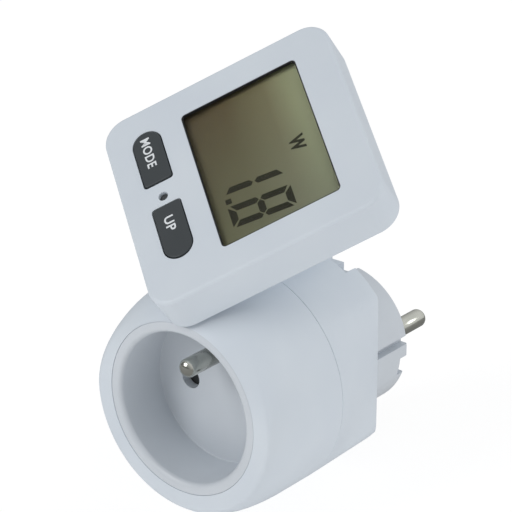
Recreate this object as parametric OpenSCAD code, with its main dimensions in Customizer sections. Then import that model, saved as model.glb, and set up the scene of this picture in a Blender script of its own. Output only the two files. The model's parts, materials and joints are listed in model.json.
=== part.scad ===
// Plug-through energy meter for an earthed two-pin wall socket.
// Origin: centre of the plug's engagement face, midway between its two pins.
// +Y runs along the pins into the wall, +Z is up, +X is to the right of a person facing the outlet.

/* [Plug] */
// Radius of the plug pins and of the outlet's earth pin
pin_r = 2.4; // [2.0:0.1:2.6]
// Half of the distance between the two pins
pin_half_gap = 9.5; // [9:0.5:10]
// How far the pins stand out of the engagement face
pin_reach = 19; // [15:1:22]
// Radius of the round part of the plug that enters the wall outlet
plug_r = 18.9; // [18:0.1:19.2]
// How far that part stands out of the housing
plug_depth = 17.5; // [15:0.5:20]
// Height of the earth hole above the pins
earth_rise = 10; // [9.5:0.5:10.5]

/* [Outlet] */
// Inner radius of the outlet's well
well_r = 19.5; // [19.2:0.1:20.5]
// Depth of the well
well_depth = 15; // [14:0.5:16]
// Radius of the two holes for the visiting plug's pins
hole_r = 2.75; // [2.6:0.05:2.9]
// Height of the outlet's centre above the plug's centre
outlet_lift = 3; // [2:0.5:5]

/* [Housing] */
// Radius of the barrel
barrel_r = 29.4; // [29:0.1:31]
// Length of the barrel from the outlet's rim to the rear face
barrel_len = 50; // [48:1:54]
// Length of the front shell, which ends at the parting line
front_len = 25.8; // [24:0.2:28]
// Length of the rounded shoulder behind the rim
shoulder_len = 14; // [13:1:16]
// Distance from the centre to each of the two flats at the rear
rear_flat = 24; // [23.5:0.5:26]
// Wall thickness of the two shells
wall = 2; // [1.8:0.1:2.2]

/* [Head] */
// Width of the display head
head_w = 60; // [58:1:62]
// Height of the display head
head_h = 62; // [60:1:64]
// Radius of the head's corners
head_corner = 6.5; // [5:0.5:10]
// Depth of the head's side wall
head_side = 11; // [10:0.5:11.5]
// Depth of the whole head
head_depth = 14; // [13:0.5:15]
// Angle between the face and the horizontal
head_tilt = 40; // [38:1:45]
// Turn of the head from upright, clockwise seen from the front
head_turn = 43; // [0:1:90]
// Width of the display window
window_w = 43.5; // [38:0.5:44]
// Height of the display window
window_h = 31.5; // [28:0.5:34]
// Height of the window's centre above the head's centre
window_rise = 5.4; // [4:0.2:8]
// Travel of the buttons
press = 0.5; // [0.3:0.1:0.6]

/* [Hidden] */
$fn = 96;

// Outlet: rim, cup and what stands behind its floor
rim_r = 22.4;
cup_r = 21.1;
flange_t = 1.8;
floor_t = 2.5;
fit_gap = 0.05;
pin_relief = 0.2;
join_gap = 0.15;
floor_back = well_depth + floor_t;
outlet_y = -plug_depth - barrel_len;
rear_in = barrel_len - wall;
shoulder_r = (shoulder_len * shoulder_len + pow(barrel_r - rim_r, 2)) / (2 * (barrel_r - rim_r));
rear_drop = 0.6;

// Shutter: a bar that slides down to uncover both holes
shutter_y = floor_back + 0.35;
shutter_t = 1.8;
shutter_travel = 7;
shutter_half = 3.8;
shutter_w = 28;
carrier_y = shutter_y + shutter_t + 0.45;
spring_foot = -18.6;

// Screws through the rear shell into the front shell
screw_x = 17.2;
screw_z = 18.4;
screw_seat = barrel_len - 4.5;

// Power board and the pieces on it
board_y = 40.5;
board_t = 1.6;
board_r = 20.5;

// Neck: a leaning turret that carries the head's journal
head_y = 22.5;
head_z = 57.2;
neck_r = 15.5;
neck_top = -head_depth - 0.5;
neck_foot = 9.5;
neck_front = 20;
neck_rear = 47.5;
journal_r = 8;
journal_in = 4.5;
ledge_bottom = neck_top - 4;
ring_z = ledge_bottom - 1.7;
ring_t = 1;
stop_r = 12.2;
stop_half_w = 1.2;
stop_depth = 1.4;
neck_screw_x = 6;
neck_screw_y = 31;
cable_y = 40;
tongue_w = 22.8;
tongue_top = 25;
notch_y = 45.5;
notch_floor = 22.6;

// Head: layers behind the face, measured down from it
face_t = 2;
lens_top = -0.7;
lcd_top = -2.2;
lcd_t = 2.6;
board_top = -6.6;
head_board_t = 1.2;
back_t = 1.8;
bulge_w = 50;
bulge_h = 53;
pad_w = 36;
pad_h = 39;
boss_x = 24.6;
boss_y = 26.1;
window_corner = 1.2;
button_row = -20.4;
button_h = 7.5;
button_len = 16.5;
button_proud = 0.3;
mode_x = -13.9;
up_x = 10.1;
reset_x = -1.1;
reset_r = 1.25;
stem_r = 1.6;
plunger_r = 1.2;
switch_top = -4.6;

// Frames: the outlet's centre on the rim plane, and the head's face centre as it stands
module at_outlet() translate([0, outlet_y, outlet_lift]) children();
module at_neck() at_outlet() translate([0, head_y, head_z]) rotate([head_tilt, 0, 0]) children();
module at_head() at_neck() rotate([0, 0, -head_turn]) children();

// A round bar along Y from y0 to y1
module bar(y0, y1, r) translate([0, y0, 0]) rotate([-90, 0, 0]) cylinder(h = y1 - y0, r = r);

// A round pin along Y with a domed end at y1
module domed_bar(y0, y1, r) {
    dome = r * 0.8;
    translate([0, y0, 0]) rotate([-90, 0, 0]) rotate_extrude() polygon(concat(
        [[0, 0], [r, 0]],
        [for (a = [0:15:90]) [r * cos(a), y1 - y0 - dome + dome * sin(a)]]
    ));
}

// A plate with round corners, its top at z = 0
module plate(w, h, t, r) translate([0, 0, -t]) linear_extrude(t) rounded(w, h, r);

// A rectangle with round corners
module rounded(w, h, r) union() {
    square([w - 2 * r, h], center = true);
    square([w, h - 2 * r], center = true);
    for (x = [-1, 1], y = [-1, 1]) translate([x * (w / 2 - r), y * (h / 2 - r)]) circle(r);
}

// A tube swept along a list of points that runs mostly along one plane
function unit(v) = v / norm(v);
function heading(p, i) = unit(p[min(i + 1, len(p) - 1)] - p[max(i - 1, 0)]);
function ring_at(p, i, r, n, side) =
    let (d = heading(p, i), u = unit(cross(d, side)), v = cross(d, u))
    [for (k = [0:n - 1]) p[i] + r * (cos(360 * k / n) * u + sin(360 * k / n) * v)];
module tube(p, r, n, side) {
    count = len(p);
    points = [for (i = [0:count - 1]) each ring_at(p, i, r, n, side)];
    walls = [for (i = [0:count - 2], k = [0:n - 1])
        [i * n + k, i * n + (k + 1) % n, (i + 1) * n + (k + 1) % n, (i + 1) * n + k]];
    ends = [[for (k = [n - 1:-1:0]) k], [for (k = [0:n - 1]) (count - 1) * n + k]];
    polyhedron(points = points, faces = concat(walls, ends), convexity = 6);
}

// Outer radius of the front shell's rounded shoulder at a distance y behind the rim
function shoulder(y) = barrel_r - shoulder_r + sqrt(pow(shoulder_r, 2) - pow(shoulder_len - y, 2));

// Places of the four housing screws
module at_screws() for (x = [-1, 1], z = [-1, 1]) translate([x * screw_x, 0, z * screw_z]) children();

// The rear half of the barrel: round at the parting line, flattened at both sides at the rear
module rear_form(inset, y0, y1) hull() {
    bar(y0, y0 + 0.1, barrel_r - inset);
    intersection() {
        bar(y1 - 0.1, y1, barrel_r - rear_drop - inset);
        translate([-rear_flat + inset, y1 - 0.1, -barrel_r]) cube([2 * (rear_flat - inset), 0.1, 2 * barrel_r]);
    }
}

// ---- Barrel ----

module front_shell() color([0.86, 0.88, 0.90]) at_outlet() {
    steps = 8;
    difference() {
        union() {
            rotate([-90, 0, 0]) rotate_extrude() polygon(concat(
                [for (i = [0:steps]) [shoulder(shoulder_len * i / steps), shoulder_len * i / steps]],
                [[barrel_r, front_len], [barrel_r - wall, front_len]],
                [for (i = [steps:-1:2]) [shoulder(shoulder_len * i / steps) - wall, shoulder_len * i / steps]],
                [[cup_r + join_gap, flange_t + 2.4], [cup_r + join_gap, flange_t + fit_gap],
                 [rim_r, flange_t + fit_gap]]
            ));
            at_screws() bar(9, front_len - 0.2, 3);
        }
        at_screws() bar(12, front_len, 1.45);
    }
}

module rear_shell() color([0.86, 0.88, 0.90]) at_outlet() difference() {
    union() {
        difference() {
            rear_form(0, front_len + join_gap, barrel_len);
            rear_form(wall, front_len, rear_in);
        }
        difference() {
            bar(front_len - 2, front_len + 2, barrel_r - wall - 0.1);
            bar(front_len - 3, front_len + 3, barrel_r - wall - 1.4);
            at_screws() bar(front_len - 3, front_len + join_gap, 3.3);
        }
        intersection() {
            rear_form(1, front_len, barrel_len);
            union() {
                at_screws() bar(front_len + join_gap, rear_in, 3.4);
                for (x = [-1, 1]) translate([x * neck_screw_x, neck_screw_y, 25.6]) cylinder(h = 3, r = 3);
                translate([-16.5, notch_y - wall, notch_floor - wall])
                    cube([33, barrel_len - notch_y + wall, 10]);
            }
        }
    }
    at_screws() bar(front_len - 1, barrel_len + 1, 1.6);
    at_screws() bar(screw_seat, barrel_len + 1, 2.9);
    translate([0, 0, -outlet_lift]) bar(rear_in - 1, barrel_len + 1, plug_r + fit_gap);
    for (x = [-1, 1]) translate([x * neck_screw_x, neck_screw_y, 22]) cylinder(h = 10, r = 1.5);
    translate([0, cable_y, 20]) cylinder(h = 12, r = 3);
    translate([0, barrel_len + 1, 0]) rotate([90, 0, 0]) linear_extrude(barrel_len + 1 - notch_y) neck_notch();
}

// The notch in the top of the rear rim that the neck's tongue drops into
module neck_notch() polygon([
    [-16.2, 32], [-15.9, 25.1], [-12.2, notch_floor], [12.2, notch_floor], [15.9, 25.1], [16.2, 32]
]);

module housing_screws() color([0.62, 0.63, 0.64]) at_outlet() at_screws() difference() {
    union() {
        bar(14, screw_seat, 1.4);
        bar(screw_seat, screw_seat + 1.8, 2.6);
    }
    translate([-0.4, screw_seat + 0.9, -1.8]) cube([0.8, 1, 3.6]);
    translate([-1.8, screw_seat + 0.9, -0.4]) cube([3.6, 1, 0.8]);
}

// ---- Outlet ----

module socket_cup() color([0.88, 0.89, 0.91]) at_outlet() difference() {
    rotate([-90, 0, 0]) rotate_extrude() polygon([
        [0, floor_back], [cup_r, floor_back], [cup_r, flange_t], [rim_r - join_gap, flange_t],
        [rim_r - join_gap, 0.5], [rim_r - 0.6, 0], [well_r + 1, 0], [well_r + 0.4, 0.4],
        [well_r, 1.6], [well_r, well_depth], [0, well_depth]
    ]);
    for (x = [-1, 1]) translate([x * pin_half_gap, 0, 0]) bar(well_depth - 1, floor_back + 1, hole_r);
    translate([0, 0, earth_rise]) bar(well_depth - 1, floor_back + 1, pin_r + fit_gap);
}

module socket_earth_pin() color([0.75, 0.74, 0.70]) at_outlet() translate([0, 0, earth_rise]) union() {
    mirror([0, 1, 0]) domed_bar(pin_relief - well_depth, -1, pin_r);
    bar(well_depth - pin_relief, 30, pin_r - pin_relief);
    bar(floor_back + 0.1, floor_back + 1.6, 3.4);
}

module safety_shutter() color([0.30, 0.31, 0.32]) at_outlet() union() {
    translate([-shutter_w / 2, shutter_y, -shutter_half]) cube([shutter_w, shutter_t, 2 * shutter_half]);
    translate([-3, shutter_y, -shutter_half - 1]) cube([6, shutter_t, 1.5]);
}

module shutter_spring() color([0.70, 0.71, 0.72]) at_outlet() {
    turns = 6;
    coil_r = 1;
    top = -shutter_half - 1.25;
    span = top - spring_foot - 0.3;
    path = [for (i = [0:10 * turns])
        [coil_r * cos(36 * i), coil_r * sin(36 * i), spring_foot + 0.15 + span * i / (10 * turns)]];
    translate([0, (floor_back + carrier_y) / 2, 0]) tube(path, 0.15, 8, [0, 0, 1]);
}

module contact_carrier() color([0.80, 0.80, 0.76]) at_outlet() difference() {
    union() {
        difference() {
            bar(floor_back + fit_gap, carrier_y + 2, cup_r);
            bar(floor_back, carrier_y, well_r - 0.4);
        }
        for (x = [-1, 1]) translate([x * pin_half_gap, 0, 0]) bar(carrier_y, 35, 4.8);
    }
    for (x = [-1, 1]) translate([x * pin_half_gap, 0, 0]) bar(floor_back, 36, 3.5);
    translate([0, 0, earth_rise]) bar(floor_back, 36, 3.6);
}

// A brass sleeve that grips a visiting pin, split along its length, with a tail to the board
module sleeve_contact(x) color([0.80, 0.66, 0.34]) at_outlet() translate([x, 0, 0]) difference() {
    union() {
        bar(carrier_y + 0.3, 35, 3.3);
        translate([-1.1, 34.5, -3.3]) cube([2.2, board_y - 34.5, 0.9]);
    }
    bar(carrier_y, 36, pin_r + fit_gap);
    translate([-0.35, carrier_y, 0]) cube([0.7, 16, 5]);
}
module line_contact() sleeve_contact(pin_half_gap);
module neutral_contact() sleeve_contact(-pin_half_gap);

// ---- Electronics in the barrel ----

module power_board() color([0.16, 0.42, 0.26]) at_outlet() difference() {
    bar(board_y, board_y + board_t, board_r);
    for (x = [-1, 1]) translate([x * pin_half_gap, 0, -outlet_lift]) bar(board_y - 1, board_y + 3, 1.6);
    translate([-4, board_y - 1, 4.5]) cube([8, 4, 9]);
    translate([-3, board_y - 1, board_r - 3]) cube([6, 4, 5]);
}

module current_shunt() color([0.72, 0.52, 0.38]) at_outlet() difference() {
    translate([4, board_y - 6, -11]) cube([13, 6, 1]);
    translate([6, board_y - 4.6, -12]) cube([9, 5, 3]);
}

module film_capacitor() color([0.80, 0.68, 0.22]) at_outlet()
    translate([-9, board_y - 11.5, -19]) cube([15, 11.5, 7]);

module reservoir_capacitor() color([0.15, 0.17, 0.22]) at_outlet() difference() {
    translate([-6.5, 0, 14.8]) bar(board_y - 12, board_y, 2.8);
    translate([-6.5, 0, 14.8]) bar(board_y - 12.1, board_y - 11.8, 2.1);
}

module varistor() color([0.20, 0.36, 0.62]) at_outlet()
    translate([-14.5, board_y - 6.2, -9.6]) rotate([0, 0, 90]) bar(-1.8, 1.8, 4.2);

module metering_chip() color([0.10, 0.10, 0.11]) at_outlet()
    translate([7, board_y - 1.6, 6.5]) cube([8, 1.6, 6]);

module swivel_cable() color([0.35, 0.36, 0.38]) at_outlet() {
    path = [
        [0, 29.9, 48.4], [0, 32.1, 45.8], [0, 34.3, 43.2], [0, 36.4, 40.6], [0, 38.3, 38], [0, 39.5, 35.4],
        [0, 40, 33], [0, 40, 30.6], [0, 39.9, 28], [0, 39.2, 25.2], [0, 38.5, 22.8], [0, 38.3, 21],
        [0, 38.9, 19.6], [0, 40.4, 18.8]
    ];
    tube(path, 1.1, 10, [1, 0, 0]);
}

// ---- Plug ----

module plug_insert() color([0.86, 0.88, 0.90]) difference() {
    union() {
        difference() {
            bar(-plug_depth - wall, 0, plug_r);
            bar(-plug_depth - wall - 1, -3, plug_r - 4.6);
        }
        bar(-plug_depth - wall - 1.5, -plug_depth - wall, plug_r + 0.7);
    }
    bar(-plug_depth - wall - 2, -plug_depth, plug_r - 4.6);
    for (x = [-1, 1]) translate([x * pin_half_gap, 0, 0]) bar(-4, 1, pin_r + fit_gap);
    translate([0, 0, earth_rise]) bar(-4, 1, pin_r + 0.1);
    for (x = [-1, 1]) guide_groove(x);
    for (z = [-1, 1]) translate([-3.2, -plug_depth, z * (plug_r - 0.9) - 1.5]) cube([6.4, plug_depth + 1, 3]);
}

// The stepped groove on each side that takes the guide rib of a wall outlet
module guide_groove(side) {
    translate([side * (plug_r + 0.3) - 2.6, -plug_depth, 1.6]) cube([5.2, plug_depth + 1, 2.2]);
    translate([side * (plug_r + 0.6) - 3.4, -3.2, -6.6]) cube([6.8, 4, 5]);
}

// A solid pin, headed and staked behind the engagement face
module plug_pin(x) color([0.78, 0.77, 0.74]) translate([x, 0, 0]) union() {
    domed_bar(pin_relief, pin_reach, pin_r);
    bar(-6, pin_relief, pin_r - pin_relief);
    bar(-6, -3.05, 3.6);
    bar(outlet_y + board_y + fit_gap, -5.9, 1.5);
}
module line_pin() plug_pin(pin_half_gap);
module neutral_pin() plug_pin(-pin_half_gap);

module plug_earth_sleeve() color([0.80, 0.66, 0.34]) translate([0, 0, earth_rise]) difference() {
    bar(-17, -3.05, 3.3);
    bar(-18, -3, pin_r + fit_gap);
    translate([-0.35, -18, 0]) cube([0.7, 12, 4]);
}

module earth_strap() color([0.80, 0.66, 0.34]) {
    at_outlet() translate([-2, 30.05, earth_rise - 2]) cube([4, 18.5, 0.8]);
    at_outlet() difference() {
        translate([-2, 30.05, earth_rise - 2]) cube([4, 0.8, 5]);
        translate([0, 0, earth_rise + 9]) bar(30, 31, 0.5);
    }
    translate([-2, -19.5, earth_rise - 4.1]) cube([4, 16, 0.75]);
    translate([-2, -19.7, earth_rise - 4.1]) cube([4, 0.8, 5.2]);
}

module earth_clips() color([0.78, 0.77, 0.74]) for (z = [-1, 1]) union() {
    translate([-2.5, -plug_depth + 0.2, z * 17.3 - 0.4]) cube([5, plug_depth - 3, 0.8]);
    translate([-2.5, -9, z * 17.7 - 0.5]) cube([5, 3, 1]);
}

// ---- Neck ----

// The turret's outline, from the saddle on the barrel up to the ring below the head
module neck_form(inset) hull() {
    at_neck() translate([0, 0, neck_top - 1]) cylinder(h = 1, r = neck_r - inset, $fn = 64);
    at_outlet() translate([-neck_foot + inset, neck_front + inset, 26])
        cube([2 * (neck_foot - inset), neck_rear - neck_front - 2 * inset, 1]);
}

module neck() color([0.86, 0.88, 0.90]) difference() {
    union() {
        difference() {
            neck_form(0);
            intersection() {
                neck_form(wall);
                at_neck() translate([0, 0, ledge_bottom - 60]) cylinder(h = 60, r = 60);
            }
        }
        at_outlet() for (x = [-1, 1]) translate([x * neck_screw_x, neck_screw_y, 27]) cylinder(h = 7, r = 2.6);
        at_outlet() translate([-tongue_w / 2, notch_y + fit_gap, notch_floor + fit_gap])
            cube([tongue_w, barrel_len - notch_y - 0.25, tongue_top - notch_floor]);
        at_outlet() translate([-neck_foot, notch_y + fit_gap, notch_floor + 1])
            cube([2 * neck_foot, neck_rear - notch_y - fit_gap, 8]);
    }
    at_neck() translate([0, 0, ledge_bottom - 2]) cylinder(h = 8, r = journal_r + fit_gap);
    at_neck() translate([0, 0, ledge_bottom - 3.6]) cylinder(h = 3.6, r = journal_r + 3);
    at_neck() translate([0, 0, neck_top - stop_depth - 0.3]) stop_slot();
    at_outlet() bar(0, front_len + 0.5, barrel_r + fit_gap);
    at_outlet() difference() {
        rear_form(-fit_gap, front_len, barrel_len);
        translate([0, barrel_len + 2, 0]) rotate([90, 0, 0]) linear_extrude(barrel_len + 2 - notch_y) neck_notch();
    }
    at_outlet() for (x = [-1, 1]) translate([x * neck_screw_x, neck_screw_y, 20]) cylinder(h = 13, r = 1.35);
}

// Half-turn slot in the neck's top that stops the head a quarter turn either way from upright
module stop_slot() {
    spare = asin((stop_half_w + 0.2) / stop_r);
    rotate([0, 0, -spare]) rotate_extrude(angle = 180 + 2 * spare)
        translate([stop_r - 1.4, 0]) square([2.8, stop_depth + 2]);
}

module neck_screws() color([0.62, 0.63, 0.64]) at_outlet()
    for (x = [-1, 1]) translate([x * neck_screw_x, neck_screw_y, 0]) difference() {
        union() {
            translate([0, 0, 24.6]) cylinder(h = 8, r = 1.3);
            translate([0, 0, 23.8]) cylinder(h = 1.75, r = 2.4);
        }
        translate([-0.4, -1.6, 23.5]) cube([0.8, 3.2, 1.1]);
    }

// ---- Head ----

module head_bezel() color([0.86, 0.88, 0.90]) at_head() difference() {
    union() {
        difference() {
            plate(head_w, head_h, head_side, head_corner);
            translate([0, 0, -face_t]) plate(head_w - 3.6, head_h - 3.6, 10, head_corner - 1.8);
        }
        for (x = [-1, 1], y = [-1, 1]) translate([x * boss_x, y * boss_y, back_t - head_side + fit_gap])
            cylinder(h = head_side - back_t - 1, r = 2.6);
    }
    for (x = [-1, 1], y = [-1, 1]) translate([x * boss_x, y * boss_y, -head_side]) cylinder(h = head_side - 1.6, r = 1.15);
    translate([0, window_rise, 1]) plate(window_w, window_h, 4, window_corner);
    translate([0, window_rise, lens_top]) plate(window_w + 2.4, window_h + 2.4, 3, 1.8);
    translate([mode_x, button_row, 1]) key_outline(button_len + 0.5, button_h + 0.5, -1, 4);
    translate([up_x, button_row, 1]) key_outline(button_len + 0.5, button_h + 0.5, 1, 4);
    translate([reset_x, button_row, -3]) cylinder(h = 4, r = reset_r);
}

module display_window() color([0.75, 0.80, 0.78, 0.35]) at_head() translate([0, window_rise, lens_top - fit_gap])
    plate(window_w + 2, window_h + 2, 1.2, 1.7);

module lcd_glass() color([0.45, 0.46, 0.33]) at_head() translate([0, window_rise, lcd_top])
    plate(window_w + 1.6, window_h + 1.6, lcd_t, 0.6);

module lcd_frame() color([0.82, 0.82, 0.80]) at_head() translate([0, window_rise, 0]) difference() {
    translate([0, 0, lcd_top + 0.1]) plate(window_w + 3.2, window_h + 3.2, lcd_top - board_top, 1);
    translate([0, 0, lcd_top + 1]) plate(window_w + 1.8, window_h + 1.8, lcd_t + 1.1, 0.7);
    translate([0, 0, lcd_top - lcd_t]) plate(window_w - 6, window_h - 2, 6, 0.7);
    for (y = [-1, 1]) translate([0, y * (window_h / 2 - 2.2), lcd_top - lcd_t])
        plate(window_w - 3, 2.2, 6, 0.5);
}

module zebra_strips() color([0.55, 0.45, 0.50]) at_head() for (y = [-1, 1])
    translate([0, window_rise + y * (window_h / 2 - 2.2), lcd_top - lcd_t - fit_gap])
        plate(window_w - 4, 1.8, lcd_top - lcd_t - board_top - 0.1, 0.3);

module display_board() color([0.16, 0.42, 0.26]) at_head() difference() {
    translate([0, 0, board_top]) plate(bulge_w - 4.6, bulge_h - 4.6, head_board_t, 5);
    translate([-21, -21, board_top - 3]) cylinder(h = 5, r = 1);
    translate([21, -21, board_top - 3]) cylinder(h = 5, r = 1);
}

module display_chip() color([0.10, 0.10, 0.11]) at_head()
    translate([-14, -2, board_top - head_board_t]) plate(9, 9, 1.3, 0.4);

module cable_connector() color([0.90, 0.89, 0.84]) at_head()
    translate([0, 0, board_top - head_board_t]) plate(6, 4, 3.6, 0.4);

module backup_battery() color([0.74, 0.75, 0.76]) at_head()
    translate([10.5, 6.5, board_top - head_board_t - 0.6]) mirror([0, 0, 1]) cylinder(h = 2.6, r = 5.8);

module battery_clip() color([0.72, 0.72, 0.70]) at_head() difference() {
    translate([10.5, 6.5, board_top - head_board_t]) plate(14, 4, 3.6, 0.5);
    translate([10.5, 6.5, board_top - head_board_t - 5]) cylinder(h = 7, r = 5.9);
}

// The housings of the three switches under the buttons
module button_switches() color([0.16, 0.16, 0.17]) at_head()
    for (x = [mode_x, up_x, reset_x]) translate([x, button_row, 0]) difference() {
        translate([0, 0, switch_top]) plate(6, 6, switch_top - board_top, 0.4);
        translate([0, 0, board_top + 0.4]) cylinder(h = 3, r = plunger_r + fit_gap);
    }

// A key with one round end and one squared end, its top at z = 0; side is where the round end points
module key_outline(w, h, side, t) translate([0, 0, -t]) linear_extrude(t) union() {
    translate([side * (w - h) / 2, 0]) circle(h / 2);
    translate([side * -h / 4, 0]) rounded(w - h / 2, h, 0);
}

module key_cap(side) union() {
    translate([0, 0, button_proud]) key_outline(button_len, button_h, side, button_proud + face_t + 0.3);
    translate([0, 0, -face_t - 0.1]) key_outline(button_len + 1.4, button_h + 1.4, side, 0.6);
    translate([0, 0, switch_top + press + 0.3]) cylinder(h = 2, r = stem_r);
}

module mode_button() color([0.22, 0.24, 0.25]) at_head() translate([mode_x, button_row, 0]) key_cap(-1);
module up_button() color([0.22, 0.24, 0.25]) at_head() translate([up_x, button_row, 0]) key_cap(1);
module reset_button() color([0.12, 0.12, 0.13]) at_head() translate([reset_x, button_row, 0]) union() {
    translate([0, 0, -3.5]) cylinder(h = 2.6, r = reset_r - 0.15);
    translate([0, 0, -2.7]) cylinder(h = 0.6, r = reset_r + 0.6);
}

// A switch plunger, which its button pushes into the housing
module plunger(x, top) color([0.55, 0.30, 0.26]) at_head() translate([x, button_row, board_top + 0.5 + press])
    cylinder(h = top - board_top - 0.5 - press, r = plunger_r);
module mode_plunger() plunger(mode_x, switch_top + press + 0.28);
module up_plunger() plunger(up_x, switch_top + press + 0.28);
module reset_plunger() plunger(reset_x, -3.52);

module head_back() color([0.86, 0.88, 0.90]) at_head() difference() {
    union() {
        hull() {
            translate([0, 0, -head_side]) plate(bulge_w, bulge_h, 0.1, 7);
            translate([0, 0, -head_depth + 0.1]) plate(pad_w, pad_h, 0.1, 6);
        }
        translate([0, 0, back_t - head_side]) plate(head_w - 3.8, head_h - 3.8, back_t, head_corner - 1.9);
        translate([0, 0, ring_z - ring_t - 0.6]) cylinder(h = ring_t + 7, r = journal_r);
        stop_lug();
    }
    translate([0, 0, -4]) plate(bulge_w - 4, bulge_h - 4, head_side - 4.3, 2);
    hull() {
        translate([0, 0, -head_side + 0.4]) plate(bulge_w - 4, bulge_h - 4, 0.1, 5.5);
        translate([0, 0, -head_depth + 1.9]) plate(pad_w - 3, pad_h - 3, 0.1, 4.5);
    }
    translate([0, 0, -30]) cylinder(h = 25, r = journal_in);
    for (x = [-1, 1], y = [-1, 1]) translate([x * boss_x, y * boss_y, -head_side - 1]) cylinder(h = back_t + 2, r = 1.2);
    for (x = [-1, 1], y = [-1, 1]) translate([x * boss_x, y * boss_y, -head_side - 1]) cylinder(h = 2.3, r = 2.5);
    translate([0, 0, ring_z - ring_t - fit_gap]) difference() {
        cylinder(h = ring_t + 2 * fit_gap, r = journal_r + 1);
        translate([0, 0, -1]) cylinder(h = 4, r = journal_r - 1.2);
    }
}

// The lug that runs in the neck's slot
module stop_lug() rotate([0, 0, 90]) translate([stop_r - 0.9, -stop_half_w, neck_top - stop_depth])
    cube([1.8, 2 * stop_half_w, stop_depth + 1.5]);

module head_screws() color([0.62, 0.63, 0.64]) at_head()
    for (x = [-1, 1], y = [-1, 1]) translate([x * boss_x, y * boss_y, 0]) difference() {
        union() {
            translate([0, 0, 1 - head_side]) cylinder(h = 6.5, r = 1.1);
            translate([0, 0, -head_side + 0.1]) cylinder(h = 1.15, r = 2.3);
        }
        translate([-0.35, -1.5, -head_side - 0.5]) cube([0.7, 3, 1.2]);
        translate([-1.5, -0.35, -head_side - 0.5]) cube([3, 0.7, 1.2]);
    }

module retaining_ring() color([0.66, 0.67, 0.68]) at_head() translate([0, 0, ring_z - ring_t]) difference() {
    cylinder(h = ring_t, r = journal_r + 2.4);
    translate([0, 0, -1]) cylinder(h = ring_t + 2, r = journal_r - 1.15);
    translate([-2, 0, -1]) cube([4, 20, ring_t + 2]);
}

module wave_washer() color([0.70, 0.71, 0.72]) at_neck() translate([0, 0, ring_z + 0.1]) difference() {
    cylinder(h = 1.4, r = journal_r + 2.2);
    translate([0, 0, -1]) cylinder(h = 4, r = journal_r + 0.4);
}

front_shell();
rear_shell();
housing_screws();
socket_cup();
socket_earth_pin();
safety_shutter();
shutter_spring();
contact_carrier();
line_contact();
neutral_contact();
power_board();
current_shunt();
film_capacitor();
reservoir_capacitor();
varistor();
metering_chip();
plug_insert();
line_pin();
neutral_pin();
plug_earth_sleeve();
earth_strap();
earth_clips();
neck();
neck_screws();
swivel_cable();
head_bezel();
display_window();
lcd_glass();
lcd_frame();
zebra_strips();
display_board();
display_chip();
cable_connector();
backup_battery();
battery_clip();
button_switches();
mode_button();
mode_plunger();
up_button();
up_plunger();
reset_button();
reset_plunger();
head_back();
head_screws();
retaining_ring();
wave_washer();
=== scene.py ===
# Plug-in power meter on a pale studio floor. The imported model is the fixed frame;
# every piece below is placed from it, in metres.
import json
import math

import bmesh
import bpy
from mathutils import Matrix, Quaternion, Vector


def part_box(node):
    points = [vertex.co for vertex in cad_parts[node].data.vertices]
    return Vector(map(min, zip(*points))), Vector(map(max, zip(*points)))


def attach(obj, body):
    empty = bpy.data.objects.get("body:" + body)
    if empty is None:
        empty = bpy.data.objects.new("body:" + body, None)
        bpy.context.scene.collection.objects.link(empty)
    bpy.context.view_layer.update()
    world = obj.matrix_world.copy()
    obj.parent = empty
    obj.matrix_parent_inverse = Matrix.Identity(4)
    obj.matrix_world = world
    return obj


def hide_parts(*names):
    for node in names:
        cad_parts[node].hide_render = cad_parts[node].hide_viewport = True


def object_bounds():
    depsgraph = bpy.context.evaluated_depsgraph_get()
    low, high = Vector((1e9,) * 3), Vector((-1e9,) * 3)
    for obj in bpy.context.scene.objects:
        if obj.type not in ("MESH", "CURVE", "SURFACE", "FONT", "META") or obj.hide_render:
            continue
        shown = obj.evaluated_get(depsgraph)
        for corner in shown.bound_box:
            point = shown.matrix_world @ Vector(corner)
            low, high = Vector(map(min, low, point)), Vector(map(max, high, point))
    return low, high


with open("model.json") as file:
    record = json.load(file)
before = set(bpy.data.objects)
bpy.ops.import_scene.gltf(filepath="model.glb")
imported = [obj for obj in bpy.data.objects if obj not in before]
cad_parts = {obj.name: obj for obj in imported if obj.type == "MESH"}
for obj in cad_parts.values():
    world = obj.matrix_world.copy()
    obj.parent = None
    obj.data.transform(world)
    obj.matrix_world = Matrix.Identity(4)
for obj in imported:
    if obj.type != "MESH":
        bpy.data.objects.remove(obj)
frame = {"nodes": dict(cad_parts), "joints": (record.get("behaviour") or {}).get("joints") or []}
cad_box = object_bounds()

# Studio: a long lens from the front right, looking down on the meter.
# A pale floor lies just under the barrel, in white surround light with two broad soft boxes.
camera_aim = Vector((0.00515, -0.04493, 0.03706))
camera_distance = 0.6467
camera_azimuth = math.radians(38.7)
camera_elevation = math.radians(22.9)
camera_roll = math.radians(-0.1)
towards_camera = Vector(
    (
        math.sin(camera_azimuth) * math.cos(camera_elevation),
        -math.cos(camera_azimuth) * math.cos(camera_elevation),
        math.sin(camera_elevation),
    )
)
lens = bpy.data.cameras.new("catalogue_camera")
lens.lens = 188.4
lens.sensor_width = 36
lens.clip_start = 0.05
lens.clip_end = 30
camera = bpy.data.objects.new("catalogue_camera", lens)
camera.rotation_mode = "QUATERNION"
level_view = (-towards_camera).to_track_quat("-Z", "Y")
camera.rotation_quaternion = level_view @ Quaternion((0, 0, 1), camera_roll)
camera.location = camera_aim + towards_camera * camera_distance
bpy.context.scene.collection.objects.link(camera)
bpy.context.scene.camera = camera
bpy.context.scene.view_settings.view_transform = "Standard"

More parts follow.
